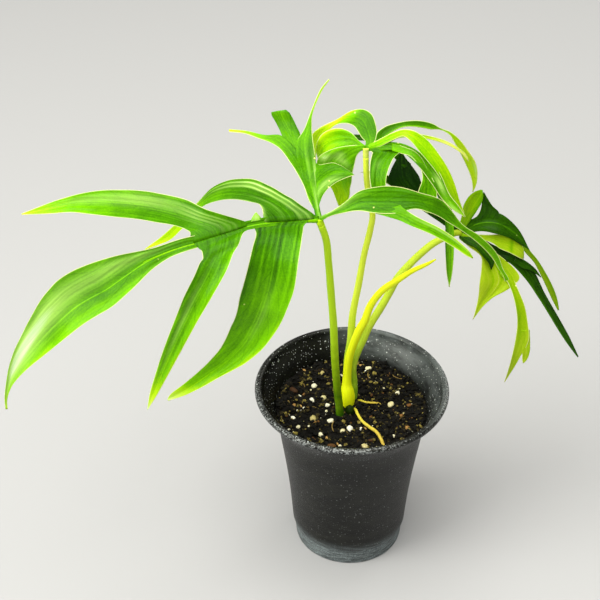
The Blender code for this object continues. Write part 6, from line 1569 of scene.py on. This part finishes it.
# A main vein runs under the first points of the lobe that goes on from each stalk
vein_a = main_vein(LEAF_A_LOBES["terminal"][:14], 1.4, 0.75)
vein_b = main_vein(LEAF_B_LOBES["outer_arch"][:4], 1.2, 1.0)
vein_c = main_vein(LEAF_C_LOBES["long_dark"][:5], 1.2, 0.9)
# Each blade: lobes, looks of its own, stalk, hub, main vein, (tint, brown) of its collar, and its finish
BLADES = {
    "leaf_a": (LEAF_A_LOBES, {}, PETIOLE_A, LEAF_A_HUB, vein_a, (0.74, 0.5), "leaf_green"),
    "leaf_b": (LEAF_B_LOBES, {}, PETIOLE_B, LEAF_B_HUB, vein_b, (0.92, 0.0), "leaf_green"),
    "leaf_c": (LEAF_C_LOBES, LEAF_C_LOOKS, PETIOLE_C, LEAF_C_HUB, vein_c, (0.8, 0.2), "leaf_shade_green"),
}
for node, (*parts, finish) in BLADES.items():
    piece(node + "_blade", leaf_shell(*parts), finishes[finish], [node])


# Floor, light and camera


def floor():
    """A wide pale sheet that the pot stands on."""
    reach = FLOOR_REACH
    corners = [(-reach, -reach), (reach, -reach), (reach, reach), (-reach, reach)]
    sheet = new_object("floor", [(x, y, -FLOOR_GAP) for x, y in corners], [(0, 1, 2, 3)])
    made, _, surface = new_finish("floor_pale")
    surface.inputs["Base Color"].default_value = (*FLOOR_COLOUR, 1.0)
    surface.inputs["Roughness"].default_value = 1.0
    surface.inputs["Specular IOR Level"].default_value = 0.0
    sheet.data.materials.append(made)


def soft_light(name, place, size, watts, colour, beam):
    """A square area light, turned to LIGHT_TARGET."""
    data = bpy.data.lights.new(name, "AREA")
    data.size = size
    data.energy = watts
    data.color = colour
    data.spread = math.radians(beam)
    obj = bpy.data.objects.new(name, data)
    bpy.context.scene.collection.objects.link(obj)
    obj.location = place
    way = np.array(LIGHT_TARGET) - np.array(place)
    across = math.atan2(way[1], way[0])
    down = math.acos(way[2] / np.linalg.norm(way))
    obj.rotation_euler = (math.pi - down, 0.0, across - math.pi / 2)


floor()
for name, light in LIGHTS.items():
    soft_light(name, *light)
world = bpy.data.worlds.new("studio")
bpy.context.scene.world = world
world.use_nodes = True
background = world.node_tree.nodes["Background"]
background.inputs["Color"].default_value = (*SKY_COLOUR, 1.0)
background.inputs["Strength"].default_value = SKY_STRENGTH
bpy.context.scene.view_settings.view_transform = "Standard"

camera_data = bpy.data.cameras.new("camera")
camera_data.lens = CAMERA_LENS
camera_data.sensor_width = CAMERA_SENSOR
camera = bpy.data.objects.new("camera", camera_data)
bpy.context.scene.collection.objects.link(camera)
camera.location = [value * MM for value in CAMERA_PLACE]
camera.rotation_euler = (math.radians(90 - CAMERA_DOWN), 0.0, 0.0)
bpy.context.scene.camera = camera
